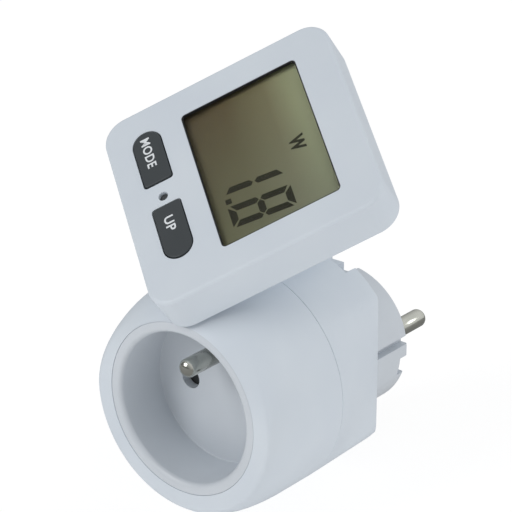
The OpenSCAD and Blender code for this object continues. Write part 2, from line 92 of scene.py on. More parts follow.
floor_half = 4.0
floor_level = cad_box[0].z - 0.0002
mesh = bmesh.new()
bmesh.ops.create_grid(mesh, x_segments=4, y_segments=4, size=floor_half)
bmesh.ops.translate(mesh, verts=mesh.verts, vec=(0, 0, floor_level))
floor_data = bpy.data.meshes.new("studio_floor")
mesh.to_mesh(floor_data)
mesh.free()
studio_floor = bpy.data.objects.new("studio_floor", floor_data)
bpy.context.scene.collection.objects.link(studio_floor)

pale_sweep = bpy.data.materials.new("pale_sweep")
pale_sweep.use_nodes = True
shader = pale_sweep.node_tree.nodes["Principled BSDF"]
shader.inputs["Base Color"].default_value = (0.2, 0.2, 0.2, 1)
shader.inputs["Roughness"].default_value = 0.9
shader.inputs["Emission Color"].default_value = (1, 1, 1, 1)
nodes, links = pale_sweep.node_tree.nodes, pale_sweep.node_tree.links
ray = nodes.new("ShaderNodeLightPath")
glow = nodes.new("ShaderNodeMapRange")
glow.inputs["To Min"].default_value = 0.84
glow.inputs["To Max"].default_value = 0.1
links.new(ray.outputs["Is Glossy Ray"], glow.inputs["Value"])
links.new(glow.outputs["Result"], shader.inputs["Emission Strength"])
floor_data.materials.append(pale_sweep)

surround = bpy.data.worlds.new("white_surround")
surround.use_nodes = True
nodes, links = surround.node_tree.nodes, surround.node_tree.links
around_set = nodes.new("ShaderNodeTexCoord")
facing = nodes.new("ShaderNodeVectorMath")
facing.operation = "DOT_PRODUCT"
facing.inputs[1].default_value = Vector((0.5, 0.5, 0.71)).normalized()
bright_side = nodes.new("ShaderNodeMapRange")
bright_side.inputs["From Min"].default_value = -0.35
bright_side.inputs["From Max"].default_value = 0.85
bright_side.inputs["To Min"].default_value = 0.16
bright_side.inputs["To Max"].default_value = 0.82
links.new(around_set.outputs["Generated"], facing.inputs[0])
links.new(facing.outputs["Value"], bright_side.inputs["Value"])
links.new(bright_side.outputs["Result"], nodes["Background"].inputs["Strength"])
nodes["Background"].inputs["Color"].default_value = (0.98, 0.99, 1, 1)
bpy.context.scene.world = surround


def soft_box(name, place, target, size, watts):
    light = bpy.data.lights.new(name, "AREA")
    light.shape = "DISK"
    light.size = size
    light.energy = watts
    box = bpy.data.objects.new(name, light)
    box.location = place
    box.rotation_mode = "QUATERNION"
    box.rotation_quaternion = (Vector(target) - Vector(place)).to_track_quat("-Z", "Y")
    bpy.context.scene.collection.objects.link(box)


middle = (0, -0.04, 0.03)
soft_box("side_box", (1.0, 0.6, 0.75), middle, 0.5, 1.6)
soft_box("front_box", (-0.5, -1.1, 0.75), middle, 0.8, 7.0)

# Front shell: the moulded cover of the barrel, round, with a full soft shoulder that rolls
# into the outlet's mouth. Satin white ABS, closed by four screws from behind.
mm = 0.001
outlet_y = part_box("front_shell")[0].y
outlet_z = (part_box("front_shell")[0].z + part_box("front_shell")[1].z) / 2
barrel_r = (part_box("front_shell")[1].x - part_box("front_shell")[0].x) / 2
front_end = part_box("front_shell")[1].y - outlet_y
outlet_centre = Vector((0, outlet_y, outlet_z))
mouth_r = 22.4 * mm
shoulder_length = 14 * mm
shell_wall = 2 * mm


def arc(centre_r, centre_y, radius, start, end, steps):
    """Points (radius, y) of a round in a half section, angles in degrees from the +radius side."""
    turns = [math.radians(start + (end - start) * k / steps) for k in range(steps + 1)]
    return [
        (centre_r + radius * math.cos(a), centre_y + radius * math.sin(a)) for a in turns
    ]


def as_piece(name, mesh, body, material, nodes=()):
    """Turns the mesh into an object that rides on a body and stands for those nodes."""
    data = bpy.data.meshes.new(name)
    mesh.to_mesh(data)
    mesh.free()
    data.shade_smooth()
    data.materials.append(material)
    piece = bpy.data.objects.new(name, data)
    bpy.context.scene.collection.objects.link(piece)
    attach(piece, body)
    if nodes:
        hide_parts(*nodes)
    return piece


def turned(outline, centre, steps=144):
    """A closed ring or solid turned about the Y line through centre from its half section."""
    mesh = bmesh.new()
    row = [mesh.verts.new((r, y, 0)) for r, y in outline]
    ends = zip(row, row[1:] + row[:1])
    edges = [
        mesh.edges.new(pair)
        for pair in ends
        if max(abs(pair[0].co.x), abs(pair[1].co.x)) > 1e-9
    ]
    bmesh.ops.spin(
        mesh,
        geom=row + edges,
        cent=(0, 0, 0),
        axis=(0, 1, 0),
        dvec=(0, 0, 0),
        angle=2 * math.pi,
        steps=steps,
        use_merge=True,
    )
    bmesh.ops.remove_doubles(mesh, verts=mesh.verts, dist=1e-7)
    bmesh.ops.recalc_face_normals(mesh, faces=mesh.faces)
    bmesh.ops.translate(mesh, verts=mesh.verts, vec=centre)
    return mesh


def soften(piece, width, segments=3, angle=35):
    """Rounds what is sharper than the angle, and keeps the flats flat in the shading."""
    edge = piece.modifiers.new("edge_round", "BEVEL")
    edge.width = width
    edge.segments = segments
    edge.limit_method = "ANGLE"
    edge.angle_limit = math.radians(angle)
    edge.profile = 0.5
    level = piece.modifiers.new("flat_shading", "WEIGHTED_NORMAL")
    level.weight = 60
    level.keep_sharp = False


def crisp(piece, angle=38):
    """Keeps what is sharper than the angle as a clean edge and the rest smooth."""
    piece.data.set_sharp_from_angle(angle=math.radians(angle))


def cut(piece, mesh, how="DIFFERENCE"):
    """Cuts another solid out of the piece, or joins it on, and keeps the result as its mesh."""
    data = bpy.data.meshes.new("tool")
    mesh.to_mesh(data)
    mesh.free()
    tool = bpy.data.objects.new("tool", data)
    bpy.context.scene.collection.objects.link(tool)
    step = piece.modifiers.new("cut", "BOOLEAN")
    step.operation = how
    step.object = tool
    step.solver = "EXACT"
    view = bpy.context.evaluated_depsgraph_get()
    result = bpy.data.meshes.new_from_object(piece.evaluated_get(view), depsgraph=view)
    piece.modifiers.remove(step)
    worn_out = piece.data
    result.name = worn_out.name + "_cut"
    piece.data = result
    bpy.data.objects.remove(tool, do_unlink=True)
    bpy.data.meshes.remove(worn_out)
    bpy.data.meshes.remove(data)
    piece.data.shade_smooth()


def moulded_surface():
    """Node group for moulded plastic: faint flow marks in the colour, fine spark-eroded grain."""
    group = bpy.data.node_groups.new("moulded_surface", "ShaderNodeTree")
    face = group.interface
    for name, kind, value in (
        ("Base", "NodeSocketColor", (0.8, 0.8, 0.8, 1)),
        ("Shade", "NodeSocketColor", (0.7, 0.7, 0.7, 1)),
        ("Roughness", "NodeSocketFloat", 0.45),
        ("Grain Size", "NodeSocketFloat", 5000.0),
        ("Grain Depth", "NodeSocketFloat", 0.2),
    ):
        face.new_socket(name, in_out="INPUT", socket_type=kind).default_value = value
    face.new_socket("Color", in_out="OUTPUT", socket_type="NodeSocketColor")
    face.new_socket("Roughness", in_out="OUTPUT", socket_type="NodeSocketFloat")
    face.new_socket("Normal", in_out="OUTPUT", socket_type="NodeSocketVector")
    nodes, links = group.nodes, group.links
    given = nodes.new("NodeGroupInput")
    out = nodes.new("NodeGroupOutput")
    place = nodes.new("ShaderNodeTexCoord")
    flow = nodes.new("ShaderNodeTexNoise")
    flow.inputs["Scale"].default_value = 55.0
    flow.inputs["Detail"].default_value = 3.0
    grain = nodes.new("ShaderNodeTexNoise")
    grain.inputs["Detail"].default_value = 2.0
    tone = nodes.new("ShaderNodeMix")
    tone.data_type = "RGBA"
    share = nodes.new("ShaderNodeMapRange")
    share.inputs["From Min"].default_value = 0.3
    share.inputs["From Max"].default_value = 0.75
    gloss = nodes.new("ShaderNodeMath")
    gloss.operation = "MULTIPLY_ADD"
    gloss.inputs[1].default_value = 0.12
    bump = nodes.new("ShaderNodeBump")
    bump.inputs["Distance"].default_value = 0.00003
    links.new(place.outputs["Object"], flow.inputs["Vector"])
    links.new(place.outputs["Object"], grain.inputs["Vector"])
    links.new(given.outputs["Grain Size"], grain.inputs["Scale"])
    links.new(flow.outputs["Fac"], share.inputs["Value"])
    links.new(share.outputs["Result"], tone.inputs["Factor"])
    links.new(given.outputs["Base"], tone.inputs["A"])
    links.new(given.outputs["Shade"], tone.inputs["B"])
    links.new(tone.outputs["Result"], out.inputs["Color"])
    links.new(grain.outputs["Fac"], gloss.inputs[0])
    links.new(given.outputs["Roughness"], gloss.inputs[2])
    links.new(gloss.outputs["Value"], out.inputs["Roughness"])
    links.new(grain.outputs["Fac"], bump.inputs["Height"])
    links.new(given.outputs["Grain Depth"], bump.inputs["Strength"])
    links.new(bump.outputs["Normal"], out.inputs["Normal"])
    return group


moulding_group = moulded_surface()


def plastic(name, base, shade, roughness, grain_size=5000.0, grain_depth=0.2, gloss=0.5):
    """A moulded plastic in two close tones with its own grain."""
    material = bpy.data.materials.new(name)
    material.use_nodes = True
    nodes, links = material.node_tree.nodes, material.node_tree.links
    shader = nodes["Principled BSDF"]
    surface = nodes.new("ShaderNodeGroup")
    surface.node_tree = moulding_group
    surface.inputs["Base"].default_value = (*base, 1)
    surface.inputs["Shade"].default_value = (*shade, 1)
    surface.inputs["Roughness"].default_value = roughness
    surface.inputs["Grain Size"].default_value = grain_size
    surface.inputs["Grain Depth"].default_value = grain_depth
    shader.inputs["Specular IOR Level"].default_value = gloss
    links.new(surface.outputs["Color"], shader.inputs["Base Color"])
    links.new(surface.outputs["Roughness"], shader.inputs["Roughness"])
    links.new(surface.outputs["Normal"], shader.inputs["Normal"])
    return material


housing_white = plastic(
    "housing_white_abs", (0.66, 0.715, 0.77), (0.625, 0.68, 0.745), 0.38
)

arc_r = (shoulder_length**2 + (barrel_r - mouth_r) ** 2) / (2 * (barrel_r - mouth_r))
sweep = math.degrees(math.asin(shoulder_length / arc_r))
lip_depth = 1.85 * mm
cup_clearance_r = 21.25 * mm
outer = arc(barrel_r - arc_r, shoulder_length, arc_r, -sweep, 0, 28)
inner = arc(barrel_r - arc_r, shoulder_length, arc_r - shell_wall, 0, -0.72 * sweep, 20)
section = (
    outer
    + [(barrel_r, front_end), (barrel_r - shell_wall, front_end)]
    + inner
    + [
        (cup_clearance_r, lip_depth + 2.4 * mm),
        (cup_clearance_r, lip_depth),
        (mouth_r, lip_depth),
    ]
)
front_shell = as_piece(
    "front_shell_cover",
    turned(section, outlet_centre),
    "housing",
    housing_white,
    ["front_shell"],
)

# The shoulder is a plain round under the head, where the head swings close over it, and grows
# fuller towards the sides and the bottom: a nearly flat ring that then turns down to the barrel.
full_ring_r = 25.9 * mm
flat_share = 0.22
blend_from, blend_to = math.radians(35), math.radians(95)


def full_shoulder(share):
    """Radius and depth on the full shoulder, share 0 at the mouth and 1 at the barrel."""
    if share < flat_share:
        return mouth_r + (full_ring_r - mouth_r) * share / flat_share, 0.0
    turn = math.pi / 2 * (share - flat_share) / (1 - flat_share)
    return (
        full_ring_r + (barrel_r - full_ring_r) * math.sin(turn) ** 0.8,
        shoulder_length * (1 - math.cos(turn) ** 1.1),
    )


for v in front_shell.data.vertices:
    x, depth, z = v.co.x, v.co.y - outlet_y, v.co.z - outlet_z
    reach = math.hypot(x, z)
    if depth < -1e-6 or depth >= shoulder_length:
        continue
    turn = math.asin((shoulder_length - depth) / arc_r)
    if abs(reach - (barrel_r - arc_r + arc_r * math.cos(turn))) > 0.02 * mm:
        continue
    full_r, full_depth = full_shoulder(1 - turn / math.radians(sweep))
    share = (math.acos(max(-1, min(1, z / reach))) - blend_from) / (blend_to - blend_from)
    share = max(0, min(1, share))
    share = share * share * (3 - 2 * share)
    new_r = reach + share * (full_r - reach)
    v.co = (
        x * new_r / reach,
        outlet_y + depth + share * (full_depth - depth),
        outlet_z + z * new_r / reach,
    )
screw_x = 17.2 * mm
screw_z = 18.4 * mm
corners = [(x, z) for x in (-1, 1) for z in (-1, 1)]


def rod(radius, y0, y1, x=0.0, z=0.0, steps=48):
    """A plain round bar along Y, used as a cutter or as stock."""
    return turned([(0, y0), (radius, y0), (radius, y1), (0, y1)], (x, 0, z), steps)


for x, z in corners:
    at = {"x": x * screw_x, "z": outlet_z + z * screw_z}
    post_end = outlet_y + front_end
    cut(front_shell, rod(3 * mm, outlet_y + 9 * mm, post_end - 0.2 * mm, **at), "UNION")
    cut(front_shell, rod(1.45 * mm, outlet_y + 12 * mm, post_end + mm, **at))
crisp(front_shell)

# Outlet cup: a separate glossier moulding that snaps into the mouth. Its rim carries a soft
# bead, the well is 15 mm deep, and the floor has two contact holes and the earth pin's hole.
insert_white = plastic(
    "outlet_white_pc", (0.61, 0.65, 0.695), (0.57, 0.61, 0.655), 0.3, 4000.0, 0.12
)
cup_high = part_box("socket_cup")[1]
well_r = 19.5 * mm
well_depth = 15 * mm
floor_back = cup_high.y - outlet_y
rim_outer = mouth_r - 0.02 * mm
cup_body = 21.1 * mm
flange = 1.8 * mm
bead = 0.3 * mm
lead_in = 1.4 * mm
floor_fillet = 0.25 * mm
section = (
    [(0, floor_back), (cup_body, floor_back), (cup_body, flange), (rim_outer, flange)]
    + arc(rim_outer - bead, bead, bead, 0, -90, 6)
    + arc(well_r + lead_in, lead_in, lead_in, -90, -180, 8)
    + arc(well_r - floor_fillet, well_depth - floor_fillet, floor_fillet, 0, 90, 4)
    + [(0, well_depth)]
)
outlet_cup = as_piece(
    "outlet_cup",
    turned(section, outlet_centre),
    "housing",
    insert_white,
    ["socket_cup"],
)


hole_reach = (outlet_y + well_depth - 1 * mm, outlet_y + floor_back + 1 * mm)
pin_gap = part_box("line_contact")[0].x / 2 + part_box("line_contact")[1].x / 2
for side in (-1, 1):
    cut(outlet_cup, rod(2.75 * mm, *hole_reach, x=side * pin_gap, z=outlet_z))
earth_low, earth_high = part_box("socket_earth_pin")
earth_z = (earth_low.z + earth_high.z) / 2
cut(outlet_cup, rod(2.45 * mm, *hole_reach, z=earth_z))
soften(outlet_cup, 0.2 * mm, 3, 50)

# Earth pin of the outlet: turned brass, nickel plated and polished, with a domed tip.
# It stands out of the well's floor and is headed behind it.


def drawn_metal():
    """Node group for plated and rolled metal: fine lengthwise lines and a mottled polish."""
    group = bpy.data.node_groups.new("drawn_metal", "ShaderNodeTree")
    face = group.interface
    for name, kind, value in (
        ("Base", "NodeSocketColor", (0.7, 0.7, 0.7, 1)),
        ("Shade", "NodeSocketColor", (0.5, 0.5, 0.5, 1)),
        ("Roughness", "NodeSocketFloat", 0.2),
        ("Line Depth", "NodeSocketFloat", 0.1),
    ):
        face.new_socket(name, in_out="INPUT", socket_type=kind).default_value = value
    face.new_socket("Color", in_out="OUTPUT", socket_type="NodeSocketColor")
    face.new_socket("Roughness", in_out="OUTPUT", socket_type="NodeSocketFloat")
    face.new_socket("Normal", in_out="OUTPUT", socket_type="NodeSocketVector")
    nodes, links = group.nodes, group.links
    given = nodes.new("NodeGroupInput")
    out = nodes.new("NodeGroupOutput")
    place = nodes.new("ShaderNodeTexCoord")
    stretch = nodes.new("ShaderNodeMapping")
    stretch.inputs["Scale"].default_value = (1.0, 0.06, 1.0)
    lines = nodes.new("ShaderNodeTexNoise")
    lines.inputs["Scale"].default_value = 2600.0
    lines.inputs["Detail"].default_value = 4.0
    cloud = nodes.new("ShaderNodeTexNoise")
    cloud.inputs["Scale"].default_value = 260.0
    tone = nodes.new("ShaderNodeMix")
    tone.data_type = "RGBA"
    gloss = nodes.new("ShaderNodeMath")
    gloss.operation = "MULTIPLY_ADD"
    gloss.inputs[1].default_value = 0.14
    bump = nodes.new("ShaderNodeBump")
    bump.inputs["Distance"].default_value = 0.00002
    links.new(place.outputs["Object"], stretch.inputs["Vector"])
    links.new(stretch.outputs["Vector"], lines.inputs["Vector"])
    links.new(place.outputs["Object"], cloud.inputs["Vector"])
    links.new(cloud.outputs["Fac"], tone.inputs["Factor"])
    links.new(given.outputs["Base"], tone.inputs["A"])
    links.new(given.outputs["Shade"], tone.inputs["B"])
    links.new(tone.outputs["Result"], out.inputs["Color"])
    links.new(cloud.outputs["Fac"], gloss.inputs[0])
    links.new(given.outputs["Roughness"], gloss.inputs[2])
    links.new(gloss.outputs["Value"], out.inputs["Roughness"])
    links.new(lines.outputs["Fac"], bump.inputs["Height"])
    links.new(given.outputs["Line Depth"], bump.inputs["Strength"])
    links.new(bump.outputs["Normal"], out.inputs["Normal"])
    return group


metal_group = drawn_metal()


def metal(name, base, shade, roughness, line_depth=0.1):
    """A metal in two close tones with drawn lines."""
    material = bpy.data.materials.new(name)
    material.use_nodes = True
    nodes, links = material.node_tree.nodes, material.node_tree.links
    shader = nodes["Principled BSDF"]
    shader.inputs["Metallic"].default_value = 1.0
    surface = nodes.new("ShaderNodeGroup")
    surface.node_tree = metal_group
    surface.inputs["Base"].default_value = (*base, 1)
    surface.inputs["Shade"].default_value = (*shade, 1)
    surface.inputs["Roughness"].default_value = roughness
    surface.inputs["Line Depth"].default_value = line_depth
    links.new(surface.outputs["Color"], shader.inputs["Base Color"])
    links.new(surface.outputs["Roughness"], shader.inputs["Roughness"])
    links.new(surface.outputs["Normal"], shader.inputs["Normal"])
    return material


nickel = metal("nickel_plate", (0.66, 0.66, 0.60), (0.52, 0.53, 0.48), 0.12)
pin_r = 2.4 * mm
relief = 0.2 * mm
dome = 0.8 * pin_r


def pin_section(tip, foot, back, head_r):
    """Half section of a pin: headed back, relieved foot, plain shank and a domed tip at 0."""
    curve = [
        (pin_r * math.cos(a), tip + dome - dome * math.sin(a))
        for a in [math.radians(90 * k / 12) for k in range(12, -1, -1)]
    ]
    return curve + [
        (pin_r, foot - relief),
        (pin_r - relief, foot - relief),
        (pin_r - relief, back - 1.5 * mm),
        (head_r, back - 1.5 * mm),
        (head_r, back),
        (0, back),
    ]


as_piece(
    "outlet_earth_pin_turned",
    turned(
        pin_section(
            earth_low.y - outlet_y, well_depth, earth_high.y - outlet_y, 2.4 * mm
        ),
        (0, outlet_y, earth_z),
        64,
    ),
    "housing",
    nickel,
    ["socket_earth_pin"],
)

# Rear shell: the other half of the barrel. Round at the parting line, it flattens at both
# sides towards the wall, and has a notch at the top rear for the neck's tongue.
rear_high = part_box("rear_shell")[1]
rear_start = front_end + 0.15 * mm
rear_end = rear_high.y - outlet_y
rear_r = barrel_r - 0.6 * mm
flat_x = 22.3 * mm
around = 144


def rounded(mesh, geom, width, steps, kind="EDGES"):
    """Rounds those edges, or those corners of a flat outline."""
    bmesh.ops.bevel(
        mesh, geom=geom, offset=width, segments=steps, profile=0.5, affect=kind, material=-1
    )


def new_verts(grown):
    """The vertices that an extrusion has made."""
    return [g for g in grown["geom"] if isinstance(g, bmesh.types.BMVert)]


def barrel_rear(inset, start, end, front_round=0.0, rear_round=0.0):
    """Closed solid of the rear half: a circle drawn out to a circle with two flats."""
    mesh = bmesh.new()
    bmesh.ops.create_circle(mesh, cap_ends=True, segments=around, radius=barrel_r - inset)
    bmesh.ops.rotate(
        mesh, verts=mesh.verts, cent=(0, 0, 0), matrix=Matrix.Rotation(math.pi / 2, 3, "X")
    )
    bmesh.ops.translate(mesh, verts=mesh.verts, vec=(0, start, 0))
    cap = mesh.faces[:]
    rings = 6
    for k in range(1, rings + 1):
        share = k / rings
        inner_cap = cap
        grown = bmesh.ops.extrude_face_region(mesh, geom=cap, use_keep_orig=k == 1)
        cap = [g for g in grown["geom"] if isinstance(g, bmesh.types.BMFace)]
        if k > 1:
            bmesh.ops.delete(mesh, geom=inner_cap, context="FACES_ONLY")
        for v in new_verts(grown):
            angle = math.atan2(v.co.z, v.co.x)
            flat = (flat_x - inset) / max(abs(math.cos(angle)), 1e-6)
            radius = (1 - share) * (barrel_r - inset) + share * min(rear_r - inset, flat)
            v.co = (
                radius * math.cos(angle),
                start + share * (end - start),
                radius * math.sin(angle),
            )
    front_cap = [f for f in mesh.faces if all(v.co.y < start + 1e-7 for v in f.verts)]
    for ends, rounding in ((front_cap, front_round), (cap, rear_round)):
        if rounding:
            rounded(mesh, [e for f in ends for e in f.edges], rounding, 4)
    bmesh.ops.recalc_face_normals(mesh, faces=mesh.faces)
    bmesh.ops.translate(mesh, verts=mesh.verts, vec=outlet_centre)
    return mesh


def block(low, high):
    """A plain box between two corners, used as a cutter or as stock."""
    mesh = bmesh.new()
    bmesh.ops.create_cube(mesh, size=1)
    low, high = Vector(low), Vector(high)
    bmesh.ops.scale(mesh, verts=mesh.verts, vec=high - low)
    bmesh.ops.translate(mesh, verts=mesh.verts, vec=(low + high) / 2)
    return mesh


rear_shell = as_piece(
    "rear_shell_cover",
    barrel_rear(0, rear_start, rear_end, 0.15 * mm, 0.7 * mm),
    "housing",
    housing_white,
    ["rear_shell"],
)
cut(
    rear_shell,
    barrel_rear(shell_wall, rear_start - 1 * mm, rear_end - shell_wall),
)
spigot = turned(
    [
        (barrel_r - 3.4 * mm, front_end - 2 * mm),
        (barrel_r - 2.1 * mm, front_end - 2 * mm),
        (barrel_r - 2.1 * mm, rear_start + 1 * mm),
        (barrel_r - 1.4 * mm, rear_start + 2.4 * mm),
        (barrel_r - 3.4 * mm, rear_start + 2.4 * mm),
    ],
    outlet_centre,
)
cut(rear_shell, spigot, "UNION")
boss_start = outlet_y + front_end + 1 * mm
boss_end = outlet_y + rear_end - 1 * mm
for x, z in corners:
    at = {"x": x * screw_x, "z": outlet_z + z * screw_z}
    cut(rear_shell, rod(3.4 * mm, boss_start, boss_end, **at), "UNION")
    cut(rear_shell, rod(1.6 * mm, boss_start - 1.3 * mm, 0, **at))
    cut(rear_shell, rod(2.9 * mm, outlet_y + rear_end - 4.5 * mm, 0.001, **at))
plug_r = 18.9 * mm
cut(rear_shell, rod(plug_r + 0.05 * mm, -0.03, -0.01, steps=around))
notch_y = 45.5 * mm
notch_floor = 22.6 * mm
mesh = bmesh.new()
notch = [(-16.2, 32), (-15.9, 25.1), (-12.2, 22.6), (12.2, 22.6), (15.9, 25.1), (16.2, 32)]
outline = [
    mesh.verts.new((x * mm, outlet_y + notch_y, outlet_z + z * mm)) for x, z in notch
]
grown = bmesh.ops.extrude_face_region(mesh, geom=[mesh.faces.new(outline)], use_keep_orig=True)
bmesh.ops.translate(
    mesh,
    verts=new_verts(grown),
    vec=(0, 8 * mm, 0),
)
bmesh.ops.recalc_face_normals(mesh, faces=mesh.faces)
seat = block(
    (-16.5 * mm, outlet_y + notch_y - shell_wall, outlet_z + notch_floor - shell_wall),
    (16.5 * mm, outlet_y + rear_end - 0.4 * mm, outlet_z + notch_floor + 1 * mm),
)
cut(rear_shell, seat, "UNION")
cut(rear_shell, mesh)
crisp(rear_shell)

# Housing screws: four zinc plated pan heads sunk in the rear shell's deep counterbores.
zinc = metal("zinc_plate", (0.60, 0.62, 0.64), (0.46, 0.48, 0.51), 0.3, 0.2)


def finish(material, *nodes):
    """Gives frame nodes that keep their shape their real finish."""
    for node in nodes:
        data = frame["nodes"][node].data
        data.materials.clear()
        data.materials.append(material)


finish(zinc, "housing_screws", "neck_screws", "head_screws")

# Plug body: the round part that enters the wall outlet, with stepped guide grooves at both
# sides, a shallow recess for each earth spring, and the earth hole above the pins.
mesh = rod(plug_r, -19.5 * mm, 0, steps=around)
front_rim = [
    e for e in mesh.edges if all(abs(v.co.y) < 1e-6 and v.co.length > plug_r / 2 for v in e.verts)
]
rounded(mesh, front_rim, 0.8 * mm, 4)
plug_body = as_piece(
    "plug_body", mesh, "housing", insert_white, ["plug_insert"]
)
cut(plug_body, rod(14.3 * mm, -0.03, -3 * mm, steps=96))
cut(
    plug_body,
    turned(
        [
            (16 * mm, -21 * mm),
            (19.6 * mm, -21 * mm),
            (19.6 * mm, -19.4 * mm),
            (16 * mm, -19.4 * mm),
        ],
        (0, 0, 0),
        96,
    ),
    "UNION",
)
for side in (-1, 1):
    ends = sorted((side * 16.6 * mm, side * 22 * mm))
    cut(plug_body, block((ends[0], -17.5 * mm, 1.6 * mm), (ends[1], mm, 3.8 * mm)))
    ends = sorted((side * 16.1 * mm, side * 23 * mm))
    cut(plug_body, block((ends[0], -3.2 * mm, -6.6 * mm), (ends[1], mm, -1.6 * mm)))
    cut(plug_body, rod(2.45 * mm, -5.3 * mm, 1.3 * mm, x=side * pin_gap, steps=50))
    ends = sorted((side * 16.5 * mm, side * 19.5 * mm))
    cut(plug_body, block((-3.2 * mm, -17.5 * mm, ends[0]), (3.2 * mm, mm, ends[1])))
cut(plug_body, rod(2.5 * mm, -5 * mm, mm, z=10 * mm))
crisp(plug_body)

# Plug pins: solid nickel plated pins with domed tips, staked behind the plug's face, each with
# a thinner tail that is soldered to the power board.
for name, node, side in (("line", "line_pin", 1), ("neutral", "neutral_pin", -1)):
    low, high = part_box(node)
    section = [(r, -y) for r, y in pin_section(-high.y, 0, 6 * mm, 3.6 * mm)[:-3]]
    section += [
        (pin_r - relief, -3.05 * mm),
        (3.6 * mm, -3.05 * mm),
        (3.6 * mm, -6 * mm),
        (1.5 * mm, -6 * mm),
        (1.5 * mm, low.y),
        (0, low.y),
    ]
    as_piece(
        name + "_plug_pin",
        turned(section, ((low.x + high.x) / 2, 0, 0), 64),
        "housing",
        nickel,
        [node],
    )

# Earth springs and the parts behind them: nickel plated spring strips in the plug's recesses,
# a brass sleeve for the wall outlet's earth pin, and the strap that joins both earths.
brass = metal("bare_brass", (0.78, 0.60, 0.28), (0.66, 0.48, 0.20), 0.22, 0.2)
finish(nickel, "earth_clips")
finish(brass, "plug_earth_sleeve", "earth_strap", "line_contact", "neutral_contact")

# Contact carrier and shutter: a grey nylon carrier behind the cup holds the split sleeves, and
# a dark acetal slide with its coil spring closes both holes until a plug pushes it down.
carrier_nylon = plastic(
    "carrier_nylon", (0.60, 0.60, 0.56), (0.54, 0.54, 0.50), 0.55, 2500.0, 0.3
)
shutter_acetal = plastic(
    "shutter_acetal", (0.035, 0.04, 0.042), (0.028, 0.03, 0.032), 0.4, 2500.0, 0.2
)
spring_steel = metal("spring_steel", (0.56, 0.57, 0.58), (0.42, 0.43, 0.44), 0.25)
finish(carrier_nylon, "contact_carrier")
finish(shutter_acetal, "safety_shutter")
finish(spring_steel, "shutter_spring", "retaining_ring", "wave_washer")

# Power board: green glass-fibre board with copper traces under the solder mask, and its parts:
# shunt, film capacitor in its yellow box, sleeved electrolytic, blue varistor and a chip.
solder_mask = bpy.data.materials.new("solder_mask_green")
solder_mask.use_nodes = True
nodes, links = solder_mask.node_tree.nodes, solder_mask.node_tree.links
shader = nodes["Principled BSDF"]
place = nodes.new("ShaderNodeTexCoord")
tracks = nodes.new("ShaderNodeTexBrick")
tracks.inputs["Scale"].default_value = 320.0
tracks.inputs["Mortar Size"].default_value = 0.12
tracks.inputs["Color1"].default_value = (0.02, 0.13, 0.06, 1)
tracks.inputs["Color2"].default_value = (0.025, 0.16, 0.07, 1)
tracks.inputs["Mortar"].default_value = (0.05, 0.26, 0.11, 1)
weave = nodes.new("ShaderNodeTexNoise")
weave.inputs["Scale"].default_value = 3000.0
bump = nodes.new("ShaderNodeBump")
bump.inputs["Distance"].default_value = 0.00003
bump.inputs["Strength"].default_value = 0.4
links.new(place.outputs["Object"], tracks.inputs["Vector"])
links.new(place.outputs["Object"], weave.inputs["Vector"])
links.new(tracks.outputs["Color"], shader.inputs["Base Color"])
links.new(weave.outputs["Fac"], bump.inputs["Height"])
links.new(bump.outputs["Normal"], shader.inputs["Normal"])
shader.inputs["Roughness"].default_value = 0.3
finish(solder_mask, "power_board", "display_board")
finish(
    metal("shunt_alloy", (0.62, 0.42, 0.30), (0.52, 0.34, 0.24), 0.35), "current_shunt"
)
finish(
    plastic("capacitor_box", (0.62, 0.46, 0.05), (0.56, 0.41, 0.04), 0.4),
    "film_capacitor",
)
finish(
    plastic("capacitor_sleeve", (0.02, 0.024, 0.04), (0.016, 0.02, 0.03), 0.25),
    "reservoir_capacitor",
)
finish(
    plastic("varistor_coat", (0.03, 0.10, 0.32), (0.025, 0.08, 0.26), 0.35), "varistor"
)
chip_black = plastic(
    "chip_epoxy", (0.015, 0.015, 0.017), (0.02, 0.02, 0.022), 0.5, 6000.0, 0.4
)
finish(chip_black, "metering_chip", "display_chip", "button_switches")
finish(
    plastic("cable_pvc", (0.10, 0.105, 0.115), (0.085, 0.09, 0.10), 0.45),
    "swivel_cable",
)

# Head frame: the face's own axes, from the swivel joint. x runs along the key row, y towards
# the display, z out of the face; the face's centre is the origin.
swivel = next(j for j in frame["joints"] if j["name"] == "head_swivel")
face_out = Vector(swivel["axis"]).normalized()
head_turn = math.radians(sum(swivel["range_deg"]) / 2)
upright_x = Vector((1, 0, 0))
upright_y = face_out.cross(upright_x)
face_x = upright_x * math.cos(head_turn) - upright_y * math.sin(head_turn)
face_y = upright_x * math.sin(head_turn) + upright_y * math.cos(head_turn)
head_place = Matrix.Translation(swivel["pos_m"]) @ Matrix(
    (face_x, face_y, face_out)
).transposed().to_4x4()


def head_span(node):
    """Lowest and highest corner of a frame node along the head's own axes."""
    back = head_place.inverted()
    points = [back @ v.co for v in frame["nodes"][node].data.vertices]
    return (
        Vector(min(p[k] for p in points) for k in range(3)),
        Vector(max(p[k] for p in points) for k in range(3)),
    )


# Neck: the hollow turret that leans back from the barrel's top and carries the head's bearing.
# It widens from a narrow foot to the round seat, and its tongue drops into the rear notch.
neck_top = head_span("neck")[1].z
neck_r = 15.5 * mm
foot_half = 9.5 * mm
foot_front = 20 * mm
foot_rear = 47.5 * mm
ledge_bottom = neck_top - 4 * mm
journal_r = 8 * mm
play = 0.05 * mm
upright_frame = (upright_x, upright_y, face_out)
upright_place = Matrix.Translation(swivel["pos_m"]) @ Matrix(upright_frame).transposed().to_4x4()


def in_head(mesh, place=None):
    """Puts a mesh that was made on the head's own axes into its place."""
    bmesh.ops.transform(mesh, matrix=place or head_place, verts=mesh.verts)
    return mesh


